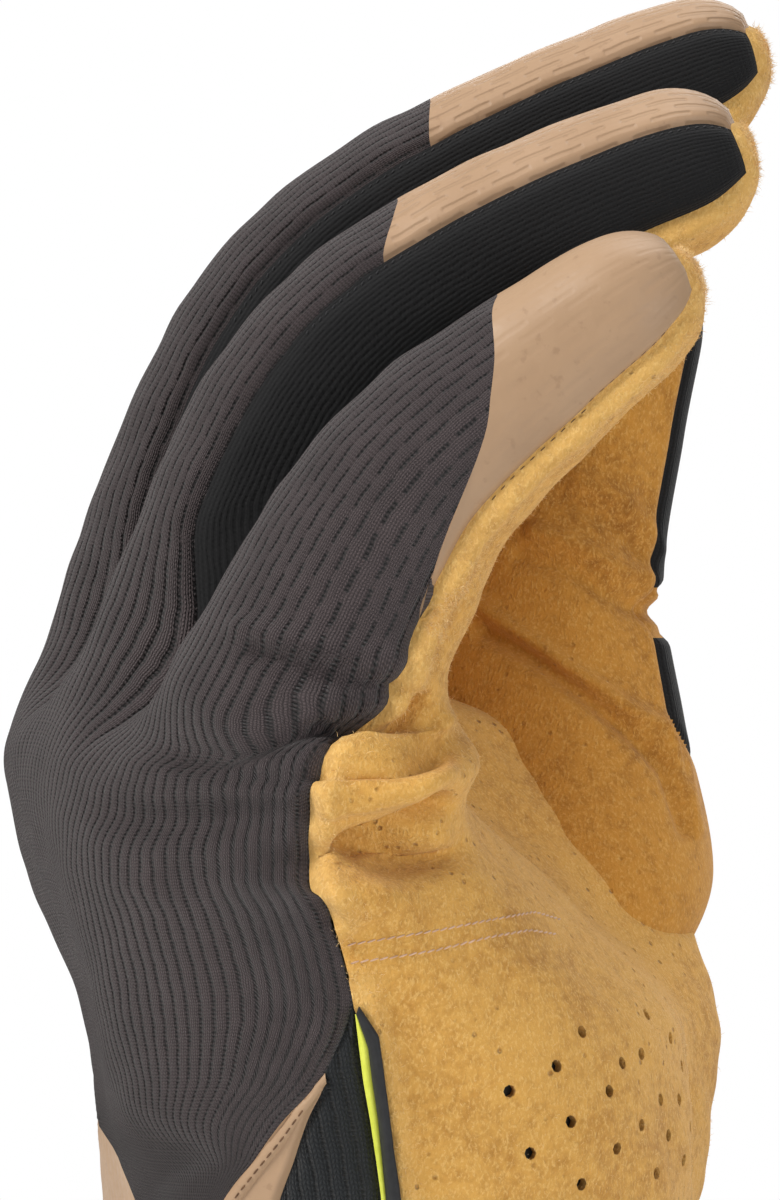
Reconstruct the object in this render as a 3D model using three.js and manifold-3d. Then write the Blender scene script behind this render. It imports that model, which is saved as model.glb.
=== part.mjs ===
// Mechanic glove for the right hand, kept in its worn shape.
// Millimetres. Fingers point up +Z, the back of the hand faces -Y, the palm +Y,
// the little finger is on the +X side. The origin is the centre of the wrist opening.
import * as THREE from "three";
import ManifoldModule from "manifold-3d";

const wasm = await ManifoldModule();
wasm.setup();

const rad = THREE.MathUtils.degToRad;

// Driving sizes
const HAND_WIDTH = 91; // across the knuckles
const HAND_DEPTH = 94; // back of the hand to the front of the curled fingers
const PALM_HEIGHT = 118; // wrist opening to the finger roots
const KNIT_WALL = 1.6;
const SUEDE_WALL = 1.4;
const CAP_WALL = 1.4;
const STRIP_WALL = 1.2;
const SEAM_GAP = 0.3; // clearance between two panels that are sewn together
const HOLE_WIDTH = 1.7; // punched holes in the heel of the palm

// Fingers: centre of the root, then a line that leans from rootLean and bends at the middle
// joint (jointBend degrees around the share jointAt) and evenly along the way (tipBend).
// width and thickness are outside sizes, capFrom is where the tan cap starts on the back.
const FINGERS = [
  { name: "pinky", x: 35, tipX: 37.5, y: -4.5, z: 120.7, length: 56, rootLean: 27, jointBend: 20, jointAt: 0.27,
    tipBend: 8, width: 20, rootThickness: 28, tipThickness: 16.5, backSlit: 18, capFrom: 0.64, capSideFrom: 0 },
  { name: "ring", x: 12.5, tipX: 13.5, y: -14.9, z: 131.1, length: 75, rootLean: 22, jointBend: 22, jointAt: 0.25,
    tipBend: 30, width: 20.5, rootThickness: 27, tipThickness: 19, backSlit: 18, capFrom: 0.47, capSideFrom: 0.4 },
  { name: "middle", x: -10.5, tipX: -11.5, y: -23.3, z: 128.5, length: 95.5, rootLean: 18, jointBend: 27, jointAt: 0.33,
    tipBend: 27, width: 21, rootThickness: 27, tipThickness: 18, backSlit: 16, capFrom: 0.59, capSideFrom: 0.56 },
  { name: "index", x: -34, tipX: -36, y: -20.5, z: 124, length: 79, rootLean: 20, jointBend: 22, jointAt: 0.28,
    tipBend: 28, width: 21, rootThickness: 26, tipThickness: 18, backSlit: 15, capFrom: 0.5, capSideFrom: 0.47 },
];
const CAP_CURVE = 1.6; // more gives a cap edge that runs straighter across the back
const TIP_DOME = 11; // length of the rounded finger end
const SQUARENESS = 2.3; // 2 is an ellipse, more is boxier
const BACK_EDGE = 62; // degrees from the back of a finger to its strip between the fingers
const PALM_EDGE = 122; // degrees from the back of a finger to the palm side edge of that strip

// Control lines of the hand below the finger roots. height is a share of PALM_HEIGHT,
// y a share of HAND_DEPTH and x a share of HAND_WIDTH.
const HAND_LINES = {
  ulnar: [
    { height: 0.0, x: 0.4, y: -0.03 },
    { height: 0.4, x: 0.43, y: -0.03 },
    { height: 0.68, x: 0.475, y: -0.08 },
    { height: 0.86, x: 0.5, y: -0.09 },
    { height: 1.0, x: 0.5, y: -0.08 },
  ],
  pinkyBack: [
    { height: 0.0, x: 0.3, y: -0.2 },
    { height: 0.4, x: 0.33, y: -0.26 },
    { height: 0.6, x: 0.36, y: -0.33 },
    { height: 0.8, x: 0.38, y: -0.35 },
  ],
  ringBack: [
    { height: 0.0, x: 0.12, y: -0.28 },
    { height: 0.4, x: 0.13, y: -0.35 },
    { height: 0.6, x: 0.14, y: -0.375 },
    { height: 0.82, x: 0.14, y: -0.45 },
  ],
  middleBack: [
    { height: 0.0, x: -0.09, y: -0.29 },
    { height: 0.21, x: -0.1, y: -0.32 },
    { height: 0.41, x: -0.11, y: -0.365 },
    { height: 0.6, x: -0.115, y: -0.39 },
    { height: 0.78, x: -0.12, y: -0.475 },
    { height: 0.86, x: -0.12, y: -0.5 },
  ],
  indexBack: [
    { height: 0.0, x: -0.28, y: -0.24 },
    { height: 0.4, x: -0.33, y: -0.31 },
    { height: 0.6, x: -0.36, y: -0.37 },
    { height: 0.82, x: -0.37, y: -0.45 },
  ],
  radial: [
    { height: 0.0, x: -0.4, y: -0.02 },
    { height: 0.4, x: -0.45, y: 0.02 },
    { height: 0.68, x: -0.49, y: 0.02 },
    { height: 0.86, x: -0.505, y: -0.08 },
    { height: 1.0, x: -0.505, y: -0.19 },
  ],
  indexPalm: [
    { height: 0.0, x: -0.25, y: 0.23 },
    { height: 0.25, x: -0.28, y: 0.3 },
    { height: 0.42, x: -0.31, y: 0.385 },
    { height: 0.56, x: -0.33, y: 0.41 },
    { height: 0.7, x: -0.36, y: 0.38 },
    { height: 0.84, x: -0.38, y: 0.22 },
  ],
  middlePalm: [
    { height: 0.0, x: -0.08, y: 0.27 },
    { height: 0.25, x: -0.09, y: 0.33 },
    { height: 0.42, x: -0.1, y: 0.385 },
    { height: 0.55, x: -0.11, y: 0.38 },
    { height: 0.68, x: -0.12, y: 0.24 },
    { height: 0.82, x: -0.12, y: 0.03 },
  ],
  ringPalm: [
    { height: 0.0, x: 0.1, y: 0.26 },
    { height: 0.25, x: 0.11, y: 0.32 },
    { height: 0.42, x: 0.12, y: 0.37 },
    { height: 0.55, x: 0.13, y: 0.355 },
    { height: 0.68, x: 0.14, y: 0.22 },
    { height: 0.82, x: 0.14, y: 0.05 },
  ],
  pinkyPalm: [
    { height: 0.0, x: 0.28, y: 0.15 },
    { height: 0.25, x: 0.31, y: 0.2 },
    { height: 0.42, x: 0.34, y: 0.24 },
    { height: 0.56, x: 0.36, y: 0.22 },
    { height: 0.7, x: 0.37, y: 0.15 },
    { height: 0.82, x: 0.37, y: 0.09 },
    { height: 0.9, x: 0.37, y: 0.11 },
  ],
};
const LINE_ORDER = ["ulnar", "pinkyBack", "ringBack", "middleBack", "indexBack",
  "radial", "indexPalm", "middlePalm", "ringPalm", "pinkyPalm"];

// Thumb: a centre line from inside the palm to the tip, as shares of THUMB_LENGTH, and its
// outside size as a share of THUMB_WIDTH.
const THUMB_LENGTH = 98;
const THUMB_WIDTH = 24.5;
const THUMB_BASE = { x: -28, y: 10, z: 66 };
const THUMB_LINE = [
  { at: 0, x: 0, y: 0.06, z: 0, size: 1.15 },
  { at: 0.22, x: -0.08, y: 0.14, z: 0.21, size: 1.35 },
  { at: 0.4, x: -0.13, y: 0.13, z: 0.4, size: 1.15 },
  { at: 0.55, x: -0.16, y: 0.12, z: 0.56, size: 1.03 },
  { at: 0.75, x: -0.18, y: 0.15, z: 0.76, size: 1.0 },
  { at: 0.92, x: -0.175, y: 0.185, z: 0.925, size: 0.96 },
  { at: 1, x: -0.17, y: 0.195, z: 1.0, size: 0.92 },
];
const THUMB_BACK_TURN = 35; // the back of the thumb faces +Y, turned this far towards -X
const THUMB_BLACK_HALF = 72; // degrees from the back of the thumb to its suede half
const THUMB_DOME = 14;
const THUMB_SHARES = [0, 0.12, 0.24, 0.36, 0.48, 0.6, 0.7, 0.8, 0.88, 0.94, 0.975, 0.993, 1];
const THUMB_COLUMNS = { back: 6, front: 9 };

// Label sewn into the seam beside the black gusset
const TAG = { fromHeight: 0.36, toHeight: 0.6, width: 2.6, thickness: 1.0 };

// Seams on the hand: height is a share of PALM_HEIGHT, the rest are places around it in
// steps of LINE_ORDER. back and palm name the panel whose edge runs there.
const SEAM_ROWS = [
  { height: 0.2, backUlnar: 1.7, backRadial: 1.7, wristUlnar: 0.8, wristRadial: 4.0, palmUlnar: -0.5, palmRadial: 5.4 },
  { height: 0.32, backUlnar: 1.7, backRadial: 1.7, wristUlnar: 0.65, wristRadial: 4.0, palmUlnar: -0.35, palmRadial: 5.25 },
  { height: 0.43, backUlnar: 0.78, backRadial: 2.2, wristUlnar: 0.44, wristRadial: 4.0, palmUlnar: -0.18, palmRadial: 5.1 },
  { height: 0.54, backUlnar: 0.12, backRadial: 3.95, wristUlnar: 0.12, wristRadial: 3.95, palmUlnar: -0.15, palmRadial: 4.9 },
  { height: 0.615, backUlnar: -0.05, backRadial: 4.75, wristUlnar: 0.12, wristRadial: 3.95, palmUlnar: -0.05, palmRadial: 4.75 },
  { height: 0.735, backUlnar: -0.045, backRadial: 4.75, wristUlnar: 0.12, wristRadial: 3.95, palmUlnar: -0.045, palmRadial: 4.75 },
  { height: 0.78, backUlnar: 0.05, backRadial: 4.75, wristUlnar: 0.12, wristRadial: 3.95, palmUlnar: 0.05, palmRadial: 4.75 },
  { height: 0.9, backUlnar: 0.03, backRadial: 4.75, wristUlnar: 0.12, wristRadial: 3.95, palmUlnar: 0.03, palmRadial: 4.75 },
  { height: 0.93, backUlnar: -0.38, backRadial: 4.75, wristUlnar: 0.12, wristRadial: 3.95, palmUlnar: -0.38, palmRadial: 4.75 },
  { height: 1.0, backUlnar: -0.5, backRadial: 4.75, wristUlnar: 0.12, wristRadial: 3.95, palmUlnar: -0.5, palmRadial: 4.75 },
];
const TONGUE_TIP = 1; // row of SEAM_ROWS where the knit's V ends
const TRIM_TOP = 3; // row where the tan wrist panel's arms end
const GUSSET_TOP = 4; // row where the black gussets end
const PINKY_SEAM = 126; // degrees from the back of the little finger to its suede seam
const RIM_LENGTH = 2.4; // length of the suede rim that wraps each finger end

// Folds of the suede and knit at the little finger's root: bulges out, creases in.
// height and tall are shares of PALM_HEIGHT, around and wide are steps of LINE_ORDER.
const FOLD_DEPTH = 4.5;
const FOLDS = [
  { name: "roll under the finger", height: 0.965, tall: 0.026, around: 9.6, wide: 0.55, depth: 0.9 },
  { name: "first crease", height: 0.918, tall: 0.016, around: 9.75, wide: 0.42, depth: -0.8 },
  { name: "middle bulge", height: 0.88, tall: 0.03, around: 9.6, wide: 0.6, depth: 1.0 },
  { name: "deep pocket", height: 0.795, tall: 0.02, around: 9.62, wide: 0.45, depth: -1.3 },
  { name: "low bulge", height: 0.755, tall: 0.028, around: 9.85, wide: 0.4, depth: 0.5 },
  { name: "knit crease high", height: 0.94, tall: 0.02, around: 0.9, wide: 0.6, depth: -0.5 },
  { name: "knit crease low", height: 0.845, tall: 0.02, around: 0.6, wide: 0.6, depth: -0.5 },
];

// Mesh rows and columns
const HAND_ROWS = [0.66, 0.705, 0.74, 0.765, 0.785, 0.8, 0.815, 0.835, 0.855, 0.875, 0.892, 0.908, 0.925, 0.945, 0.97, 1];
const ROWS_PER_SEAM = 2; // rows between two rows of SEAM_ROWS below the gusset's top
const CUFF_ROWS = 3;
const ROOT_SHARES = [0, 0.12, 0.28, 0.5, 0.75, 1]; // from a finger's root to its cap
const CAP_SHARES = [0.25, 0.5, 0.75, 1]; // from the cap's edge to the rim
const TIP_SHARES = [0.35, 0.7, 0.92, 1]; // from the rim to the very end
const STRIP_COLUMNS = 5; // across one finger's back or palm side
const SIDE_COLUMNS = 3; // across a strip between the fingers

// Curves

/** Smooth step from 0 at low to 1 at high. */
const ease = (low, high, value) => THREE.MathUtils.smoothstep(value, low, high);
const mix = THREE.MathUtils.lerp;

/** Monotone cubic through knots [{at, value}], so no row overshoots its neighbours. */
function through(knots, at) {
  const last = knots.length - 1;
  if (at <= knots[0].at) return knots[0].value;
  if (at >= knots[last].at) return knots[last].value;
  const slope = (i) => (knots[i + 1].value - knots[i].value) / (knots[i + 1].at - knots[i].at);
  const tangent = (i) => {
    if (i === 0) return slope(0);
    if (i === last) return slope(last - 1);
    const before = slope(i - 1);
    const after = slope(i);
    if (before * after <= 0) return 0;
    return (2 * before * after) / (before + after);
  };
  let i = 0;
  while (knots[i + 1].at < at) i += 1;
  const span = knots[i + 1].at - knots[i].at;
  const t = (at - knots[i].at) / span;
  const a = 2 * t ** 3 - 3 * t ** 2 + 1;
  const b = t ** 3 - 2 * t ** 2 + t;
  const c = -2 * t ** 3 + 3 * t ** 2;
  const d = t ** 3 - t ** 2;
  return a * knots[i].value + b * span * tangent(i)
    + c * knots[i + 1].value + d * span * tangent(i + 1);
}

// Finger skin

const JOINT_SPREAD = 0.22; // share of a finger's length over which its middle joint bends
const LINE_STEPS = 48;

/** Lean of a finger's centre line in radians, at a share of its length. */
function leanAt(finger, share) {
  const joint = ease(finger.jointAt - JOINT_SPREAD, finger.jointAt + JOINT_SPREAD, share);
  return rad(finger.rootLean + finger.jointBend * joint + finger.tipBend * share);
}

/** Points of each finger's centre line, stepped along its lean. */
const CENTRE_LINES = new Map(FINGERS.map((finger) => {
  const line = [{ y: finger.y, z: finger.z }];
  const step = finger.length / LINE_STEPS;
  for (let i = 0; i < LINE_STEPS; i += 1) {
    const lean = leanAt(finger, (i + 0.5) / LINE_STEPS);
    line.push({ y: line[i].y + step * Math.sin(lean), z: line[i].z + step * Math.cos(lean) });
  }
  return [finger.name, line];
}));

/** Centre, lean and size of a finger at `along` mm from its root. */
function fingerSection(finger, along) {
  const share = THREE.MathUtils.clamp(along / finger.length, 0, 1);
  const line = CENTRE_LINES.get(finger.name);
  const i = Math.min(Math.floor(share * LINE_STEPS), LINE_STEPS - 1);
  const t = share * LINE_STEPS - i;
  const lean = leanAt(finger, share);
  const before = Math.min(along, 0);
  const y = mix(line[i].y, line[i + 1].y, t) + before * Math.sin(lean);
  const z = mix(line[i].z, line[i + 1].z, t) + before * Math.cos(lean);
  const x = mix(finger.x, finger.tipX, share);
  const domeFrom = 1 - TIP_DOME / finger.length;
  const dome = Math.sqrt(Math.max(0, 1 - Math.max(0, (share - domeFrom) / (1 - domeFrom)) ** 2.4));
  const thickness = mix(finger.rootThickness, finger.tipThickness, share) * dome;
  const width = finger.width * mix(1, 0.9, share) * dome;
  return { x, y, z, lean, thickness, width };
}

/** Point on a finger's skin. turn is in degrees from its back, + towards the little finger. */
function fingerPoint(finger, along, turn) {
  const at = fingerSection(finger, along);
  const power = 2 / SQUARENESS;
  const side = Math.sign(Math.sin(rad(turn))) * Math.abs(Math.sin(rad(turn))) ** power;
  const back = Math.sign(Math.cos(rad(turn))) * Math.abs(Math.cos(rad(turn))) ** power;
  return new THREE.Vector3(
    at.x + (side * at.width) / 2,
    at.y - (back * at.thickness * Math.cos(at.lean)) / 2,
    at.z + (back * at.thickness * Math.sin(at.lean)) / 2,
  );
}

// Hand skin below the finger roots

const FINGER_OF_LINE = { pinky: 0, ring: 1, middle: 2, index: 3 };

/** Where a control line joins its finger: the end point of that line. */
function lineEnd(name) {
  const finger = FINGERS[FINGER_OF_LINE[name.replace(/Back|Palm/, "")]];
  if (name === "ulnar") return fingerPoint(FINGERS[0], -FINGERS[0].backSlit / 2, 92);
  if (name === "radial") return fingerPoint(FINGERS[3], -FINGERS[3].backSlit / 2, -92);
  if (name.endsWith("Back")) return fingerPoint(finger, -finger.backSlit, 0);
  return fingerPoint(finger, 0, 180);
}

/** Point of one control line at a height share. */
function linePoint(name, height) {
  const rows = HAND_LINES[name];
  const end = lineEnd(name);
  const knots = (key, size, last) => {
    const list = rows.filter((row) => row.height < 1).map((row) => ({ at: row.height, value: row[key] * size }));
    list.push({ at: 1, value: last });
    return list;
  };
  return new THREE.Vector3(
    through(knots("x", HAND_WIDTH, end.x), height),
    through(knots("y", HAND_DEPTH, end.y), height),
    PALM_HEIGHT * height + (end.z - PALM_HEIGHT) * height ** 2,
  );
}

/** Closed curve through the ten control lines, with the folds pressed in. */
function handPoint(around, height) {
  const count = LINE_ORDER.length;
  const turn = ((around % count) + count) % count;
  const i = Math.floor(turn) % count;
  const t = turn - Math.floor(turn);
  const corner = [-1, 0, 1, 2].map((step) => linePoint(LINE_ORDER[(i + step + count) % count], height));
  const catmull = (key) => {
    const [a, b, c, d] = corner.map((point) => point[key]);
    return 0.5 * (2 * b + (c - a) * t + (2 * a - 5 * b + 4 * c - d) * t ** 2
      + (3 * b - a - 3 * c + d) * t ** 3);
  };
  const point = new THREE.Vector3(catmull("x"), catmull("y"), catmull("z"));
  const axis = linePoint("ulnar", height).add(linePoint("radial", height)).multiplyScalar(0.5);
  const outward = point.clone().sub(axis).setZ(0).normalize();
  for (const fold of FOLDS) {
    let gap = Math.abs(turn - fold.around);
    gap = Math.min(gap, count - gap);
    const press = Math.exp(-((gap / fold.wide) ** 2) - ((height - fold.height) / fold.tall) ** 2);
    point.addScaledVector(outward, FOLD_DEPTH * fold.depth * press);
  }
  return point;
}

// Seam lines on the hand

/** Where a seam of SEAM_ROWS runs around the hand at a height share. */
function seamAt(seam, height) {
  return through(SEAM_ROWS.map((row) => ({ at: row.height, value: row[seam] })), height);
}

/** Rows between two named rows of SEAM_ROWS. */
function rowsBetween(first, last) {
  const list = [SEAM_ROWS[first].height];
  for (let row = first; row < last; row += 1) {
    for (let step = 1; step <= ROWS_PER_SEAM; step += 1) {
      list.push(mix(SEAM_ROWS[row].height, SEAM_ROWS[row + 1].height, step / ROWS_PER_SEAM));
    }
  }
  return list;
}

// Panels: each patch is a grid of points on the skin, and a panel is one or more patches

const patches = [];

/** Adds a grid to a panel. at(row, column) gives its points; flip turns its faces over. */
function addPatch(panel, rows, columns, at, flip = false) {
  const grid = Array.from({ length: rows }, (_, r) => Array.from({ length: columns }, (_, c) => at(r, c)));
  patches.push({ panel, grid, flip });
}

const shares = (count) => Array.from({ length: count + 1 }, (_, i) => i / count);
const LAST = FINGERS.length - 1;
const RADIAL_SEAM = 105; // degrees from the back of the index finger to its suede seam
const ROOT_BLEND = 0.3; // share of the root stretch over which two fingers part
const BODY_BLEND = 0.86; // height share above which the hand takes the fingers' own shapes

/** Turn around a finger at share u across its back or palm side, from the little finger's side. */
function turnAcross(index, side, u) {
  const first = index === 0 ? PINKY_SEAM : side === "back" ? BACK_EDGE : PALM_EDGE;
  const last = index === LAST ? RADIAL_SEAM : side === "back" ? BACK_EDGE : PALM_EDGE;
  return side === "back" ? mix(first, -last, u) : mix(first, 360 - last, u);
}

/** How far along a finger a row lies. stage 0 is root to cap, 1 cap to rim, 2 rim to end. */
function alongAt(index, turn, stage, share) {
  const finger = FINGERS[index];
  const around = turn > 180 ? 360 - turn : Math.abs(turn);
  const start = -finger.backSlit * (1 - ease(BACK_EDGE, PALM_EDGE, around));
  const capFull = index === 0 && (turn > 180 || turn < 0) ? finger.capFrom : finger.capSideFrom;
  const aside = THREE.MathUtils.clamp((around - 10) / ((index === 0 ? PINKY_SEAM : BACK_EDGE) - 10), 0, 1);
  const cap = finger.length * mix(finger.capFrom, capFull, aside ** CAP_CURVE);
  const rim = finger.length - RIM_LENGTH;
  if (stage === 0) return mix(start, cap, share);
  if (stage === 1) return mix(cap, rim, share);
  return mix(rim, finger.length, share);
}

const stagePoint = (index, turn, stage, share) => fingerPoint(FINGERS[index], alongAt(index, turn, stage, share), turn);

/** How far two neighbouring fingers have parted at a row. */
const parted = (stage, share) => (stage > 0 ? 1 : ease(0, ROOT_BLEND, share));

/** Point on the finger skin, pulled to the seam that it shares with its neighbour at the root. */
function jointPoint(index, side, u, stage, share) {
  const turn = turnAcross(index, side, u);
  const point = stagePoint(index, turn, stage, share);
  const open = parted(stage, share);
  const neighbour = index + (u < 0.5 ? -1 : 1);
  if (open === 1 || neighbour < 0 || neighbour > LAST) return point;
  const edge = u < 0.5 ? 0 : 1;
  const own = stagePoint(index, turnAcross(index, side, edge), stage, share);
  const other = stagePoint(neighbour, turnAcross(neighbour, side, 1 - edge), stage, share);
  const pull = Math.abs(2 * u - 1) ** 2 * (1 - open) * 0.5;
  return point.addScaledVector(other.sub(own), pull);
}

/** Place around the hand at share u across one finger's stretch of the back or palm. */
function aroundAcross(index, side, u, height) {
  const back = side === "back";
  const ulnar = seamAt(back ? "backUlnar" : "palmUlnar", height);
  const radial = seamAt(back ? "backRadial" : "palmRadial", height);
  const ulnarTop = seamAt("backUlnar", BODY_BLEND);
  const radialTop = seamAt("backRadial", BODY_BLEND);
  if (!back) {
    const first = index === 0 ? 10 + ulnar : 9.5 - index;
    const last = index === LAST ? radial : 8.5 - index;
    return mix(first, last, u);
  }
  const first = index === 0 ? ulnarTop : index + 0.5;
  const last = index === LAST ? radialTop : index + 1.5;
  const place = mix(first, last, u);
  if (height >= SEAM_ROWS[GUSSET_TOP].height) {
    return index === 0 ? mix(ulnar, last, u) : place;
  }
  return mix(ulnar, radial, (place - ulnarTop) / (radialTop - ulnarTop));
}

/** Point of the back or palm panel below the finger roots, shaped into the fingers near them. */
function bodyPoint(index, side, u, height) {
  const point = handPoint(aroundAcross(index, side, u, height), height);
  const weight = ease(BODY_BLEND, 1, height);
  if (weight === 0) return point;
  const below = (1 - height) * PALM_HEIGHT;
  const shaped = (which, share) => {
    const turn = turnAcross(which, side, share);
    return fingerPoint(FINGERS[which], alongAt(which, turn, 0, 0) - below, turn);
  };
  const target = shaped(index, u);
  const neighbour = index + (u < 0.5 ? -1 : 1);
  if (neighbour >= 0 && neighbour <= LAST) {
    const edge = u < 0.5 ? 0 : 1;
    const pull = Math.abs(2 * u - 1) ** 2 * 0.5;
    target.addScaledVector(shaped(neighbour, 1 - edge).sub(shaped(index, edge)), pull);
  }
  return point.lerp(target, weight);
}

/** Rows of one finger, from its root to its end, with the stage and the panel of each. */
function fingerRows() {
  return [
    { stage: 0, list: ROOT_SHARES },
    { stage: 1, list: [0, ...CAP_SHARES] },
    { stage: 2, list: [0, ...TIP_SHARES] },
  ];
}

/** Knit back, tan caps and suede palm sides of all fingers, and the hand below them. */
function addFingersAndHand() {
  const across = shares(STRIP_COLUMNS);
  const handRows = [...rowsBetween(TONGUE_TIP, GUSSET_TOP), ...HAND_ROWS];
  const palmRows = [...rowsBetween(0, GUSSET_TOP), ...HAND_ROWS];
  FINGERS.forEach((finger, index) => {
    for (const { stage, list } of fingerRows()) {
      const backPanel = ["back_panel", `cap_${finger.name}`, "palm_panel"][stage];
      addPatch(backPanel, list.length, across.length,
        (r, c) => jointPoint(index, "back", across[c], stage, list[r]));
      addPatch("palm_panel", list.length, across.length,
        (r, c) => jointPoint(index, "palm", across[c], stage, list[r]), true);
    }
    addPatch("back_panel", handRows.length, across.length,
      (r, c) => bodyPoint(index, "back", across[c], handRows[r]));
    addPatch("palm_panel", palmRows.length, across.length,
      (r, c) => bodyPoint(index, "palm", across[c], palmRows[r]), true);
  });
}

/** Black strips between the fingers, each a U from one finger end to the next. */
function addFourchettes() {
  const across = shares(SIDE_COLUMNS);
  for (let index = 0; index < LAST; index += 1) {
    const name = `fourchette_${FINGERS[index + 1].name}_${FINGERS[index].name}`;
    const sides = [
      { own: index, turnOf: (q) => -mix(BACK_EDGE, PALM_EDGE, q), flip: false },
      { own: index + 1, turnOf: (q) => mix(BACK_EDGE, PALM_EDGE, q), flip: true },
    ];
    sides.forEach(({ own, turnOf, flip }, which) => {
      const other = sides[1 - which];
      const at = (q, stage, share) => {
        const point = stagePoint(own, turnOf(q), stage, share);
        const facing = stagePoint(other.own, other.turnOf(q), stage, share);
        return point.lerp(facing, 0.5 * (1 - parted(stage, share)));
      };
      for (const { stage, list } of fingerRows()) {
        const panel = stage === 2 ? "palm_panel" : name;
        addPatch(panel, list.length, across.length, (r, c) => at(across[c], stage, list[r]), flip);
      }
    });
  }
}

/** Tan wrist panel with two arms, black gussets and the black cuff. */
function addWrist() {
  const span = (seamA, seamB, count, height, c) => {
    const edge = (seam) => seamAt(seam, height);
    return handPoint(mix(edge(seamA), edge(seamB), c / count), height);
  };
  const arm = rowsBetween(0, TRIM_TOP);
  addPatch("wrist_panel", arm.length, 5, (r, c) => span("wristUlnar", "backUlnar", 4, arm[r], c));
  addPatch("wrist_panel", arm.length, 7, (r, c) => span("backRadial", "wristRadial", 6, arm[r], c));
  const gusset = rowsBetween(0, GUSSET_TOP);
  const topOfTrim = SEAM_ROWS[TRIM_TOP].height;
  const gussetSpan = (palm, wrist, back, count, height, c) => {
    const edge = height > topOfTrim ? seamAt(back, height) : seamAt(wrist, height);
    return handPoint(mix(seamAt(palm, height), edge, c / count), height);
  };
  addPatch("gusset_ulnar", gusset.length, 5,
    (r, c) => gussetSpan("palmUlnar", "wristUlnar", "backUlnar", 4, gusset[r], c));
  addPatch("gusset_radial", gusset.length, 5,
    (r, c) => gussetSpan("palmRadial", "wristRadial", "backRadial", 4, gusset[r], c), true);
  const cuff = shares(CUFF_ROWS).map((share) => mix(0, SEAM_ROWS[0].height, share));
  const ring = cuffRing();
  addPatch("wrist_cuff", cuff.length, ring.length, (r, c) => handPoint(ring[c], cuff[r]));
}

/** Places around the wrist where the pieces above the cuff have their columns. */
function cuffRing() {
  const low = SEAM_ROWS[0];
  const stretch = (from, to, count) => shares(count).slice(0, -1).map((share) => mix(from, to, share));
  const palmFull = [10 + low.palmUlnar, 8.5, 7.5, 6.5, low.palmRadial];
  const palm = [];
  for (let i = palmFull.length - 1; i > 0; i -= 1) palm.push(...stretch(palmFull[i], palmFull[i - 1], STRIP_COLUMNS));
  return [
    ...stretch(low.palmUlnar, low.wristUlnar, 4),
    ...stretch(low.wristUlnar, low.backUlnar, 4),
    ...stretch(low.backRadial, low.wristRadial, 6),
    ...stretch(low.wristRadial, low.palmRadial, 4),
    ...palm,
    10 + low.palmUlnar,
  ];
}

// From patches to closed solids

/** Merges equal points and gives each its outward normal from all panels around it. */
function weldSkin(list) {
  const points = [];
  const found = new Map();
  const key = (p) => [p.x, p.y, p.z].map((value) => Math.round(value * 500)).join(",");
  const indexOf = (point) => {
    const name = key(point);
    if (!found.has(name)) {
      found.set(name, points.length);
      points.push(point.clone());
    }
    return found.get(name);
  };
  const panels = new Map();
  for (const { panel, grid, flip } of list) {
    if (!panels.has(panel)) panels.set(panel, []);
    for (let r = 0; r + 1 < grid.length; r += 1) {
      for (let c = 0; c + 1 < grid[r].length; c += 1) {
        const [a, b, d, e] = [grid[r][c], grid[r][c + 1], grid[r + 1][c + 1], grid[r + 1][c]].map(indexOf);
        const halves = (r + c) % 2 ? [[a, b, d], [a, d, e]] : [[a, b, e], [b, d, e]];
        for (const half of halves) {
          if (new Set(half).size === 3) panels.get(panel).push(flip ? half : half.toReversed());
        }
      }
    }
  }
  const normals = points.map(() => new THREE.Vector3());
  for (const faces of panels.values()) {
    for (const [a, b, c] of faces) {
      const cross = points[b].clone().sub(points[a]).cross(points[c].clone().sub(points[a]));
      for (const i of [a, b, c]) normals[i].add(cross);
    }
  }
  normals.forEach((normal) => normal.normalize());
  return { points, normals, panels };
}

/** Thickens one panel inwards, with its edges pulled back by half the seam gap. */
function thicken(skin, panel, wall) {
  const faces = skin.panels.get(panel);
  const edges = new Map();
  for (const face of faces) {
    face.forEach((from, i) => edges.set(`${from},${face[(i + 1) % 3]}`, [from, face[(i + 1) % 3]]));
  }
  const rim = [...edges.values()].filter(([from, to]) => !edges.has(`${to},${from}`));
  const pull = new Map();
  for (const [from, to] of rim) {
    const along = skin.points[to].clone().sub(skin.points[from]).normalize();
    for (const i of [from, to]) {
      const inward = skin.normals[i].clone().cross(along).normalize();
      if (!pull.has(i)) pull.set(i, []);
      pull.get(i).push(inward);
    }
  }
  const outer = new Map();
  const used = [...new Set(faces.flat())];
  for (const i of used) {
    const point = skin.points[i].clone();
    if (pull.has(i)) {
      const [first, second = first] = pull.get(i);
      const middle = first.clone().add(second);
      const spread = Math.max(middle.length() / 2, 0.4);
      point.addScaledVector(middle.normalize(), SEAM_GAP / 2 / spread);
    }
    outer.set(i, point);
  }
  const order = new Map(used.map((i, place) => [i, place]));
  const inner = used.map((i) => outer.get(i).clone().addScaledVector(skin.normals[i], -wall));
  const vertices = [...used.map((i) => outer.get(i)), ...inner].flatMap((p) => [p.x, p.y, p.z]);
  const count = used.length;
  const triangles = [];
  for (const [a, b, c] of faces.map((face) => face.map((i) => order.get(i)))) {
    triangles.push(a, b, c, a + count, c + count, b + count);
  }
  for (const [from, to] of rim.map((edge) => edge.map((i) => order.get(i)))) {
    triangles.push(to, from, from + count, to, from + count, to + count);
  }
  return new wasm.Manifold(new wasm.Mesh({
    numProp: 3,
    vertProperties: new Float32Array(vertices),
    triVerts: new Uint32Array(triangles),
  }));
}

/** What a sewn neighbour must stay clear of: the panel grown by the seam gap on both faces. */
function grown(skin, panel, wall) {
  const raised = { ...skin, points: skin.points.map((p, i) => p.clone().addScaledVector(skin.normals[i], SEAM_GAP)) };
  return thicken(raised, panel, wall + 2 * SEAM_GAP);
}

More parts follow.
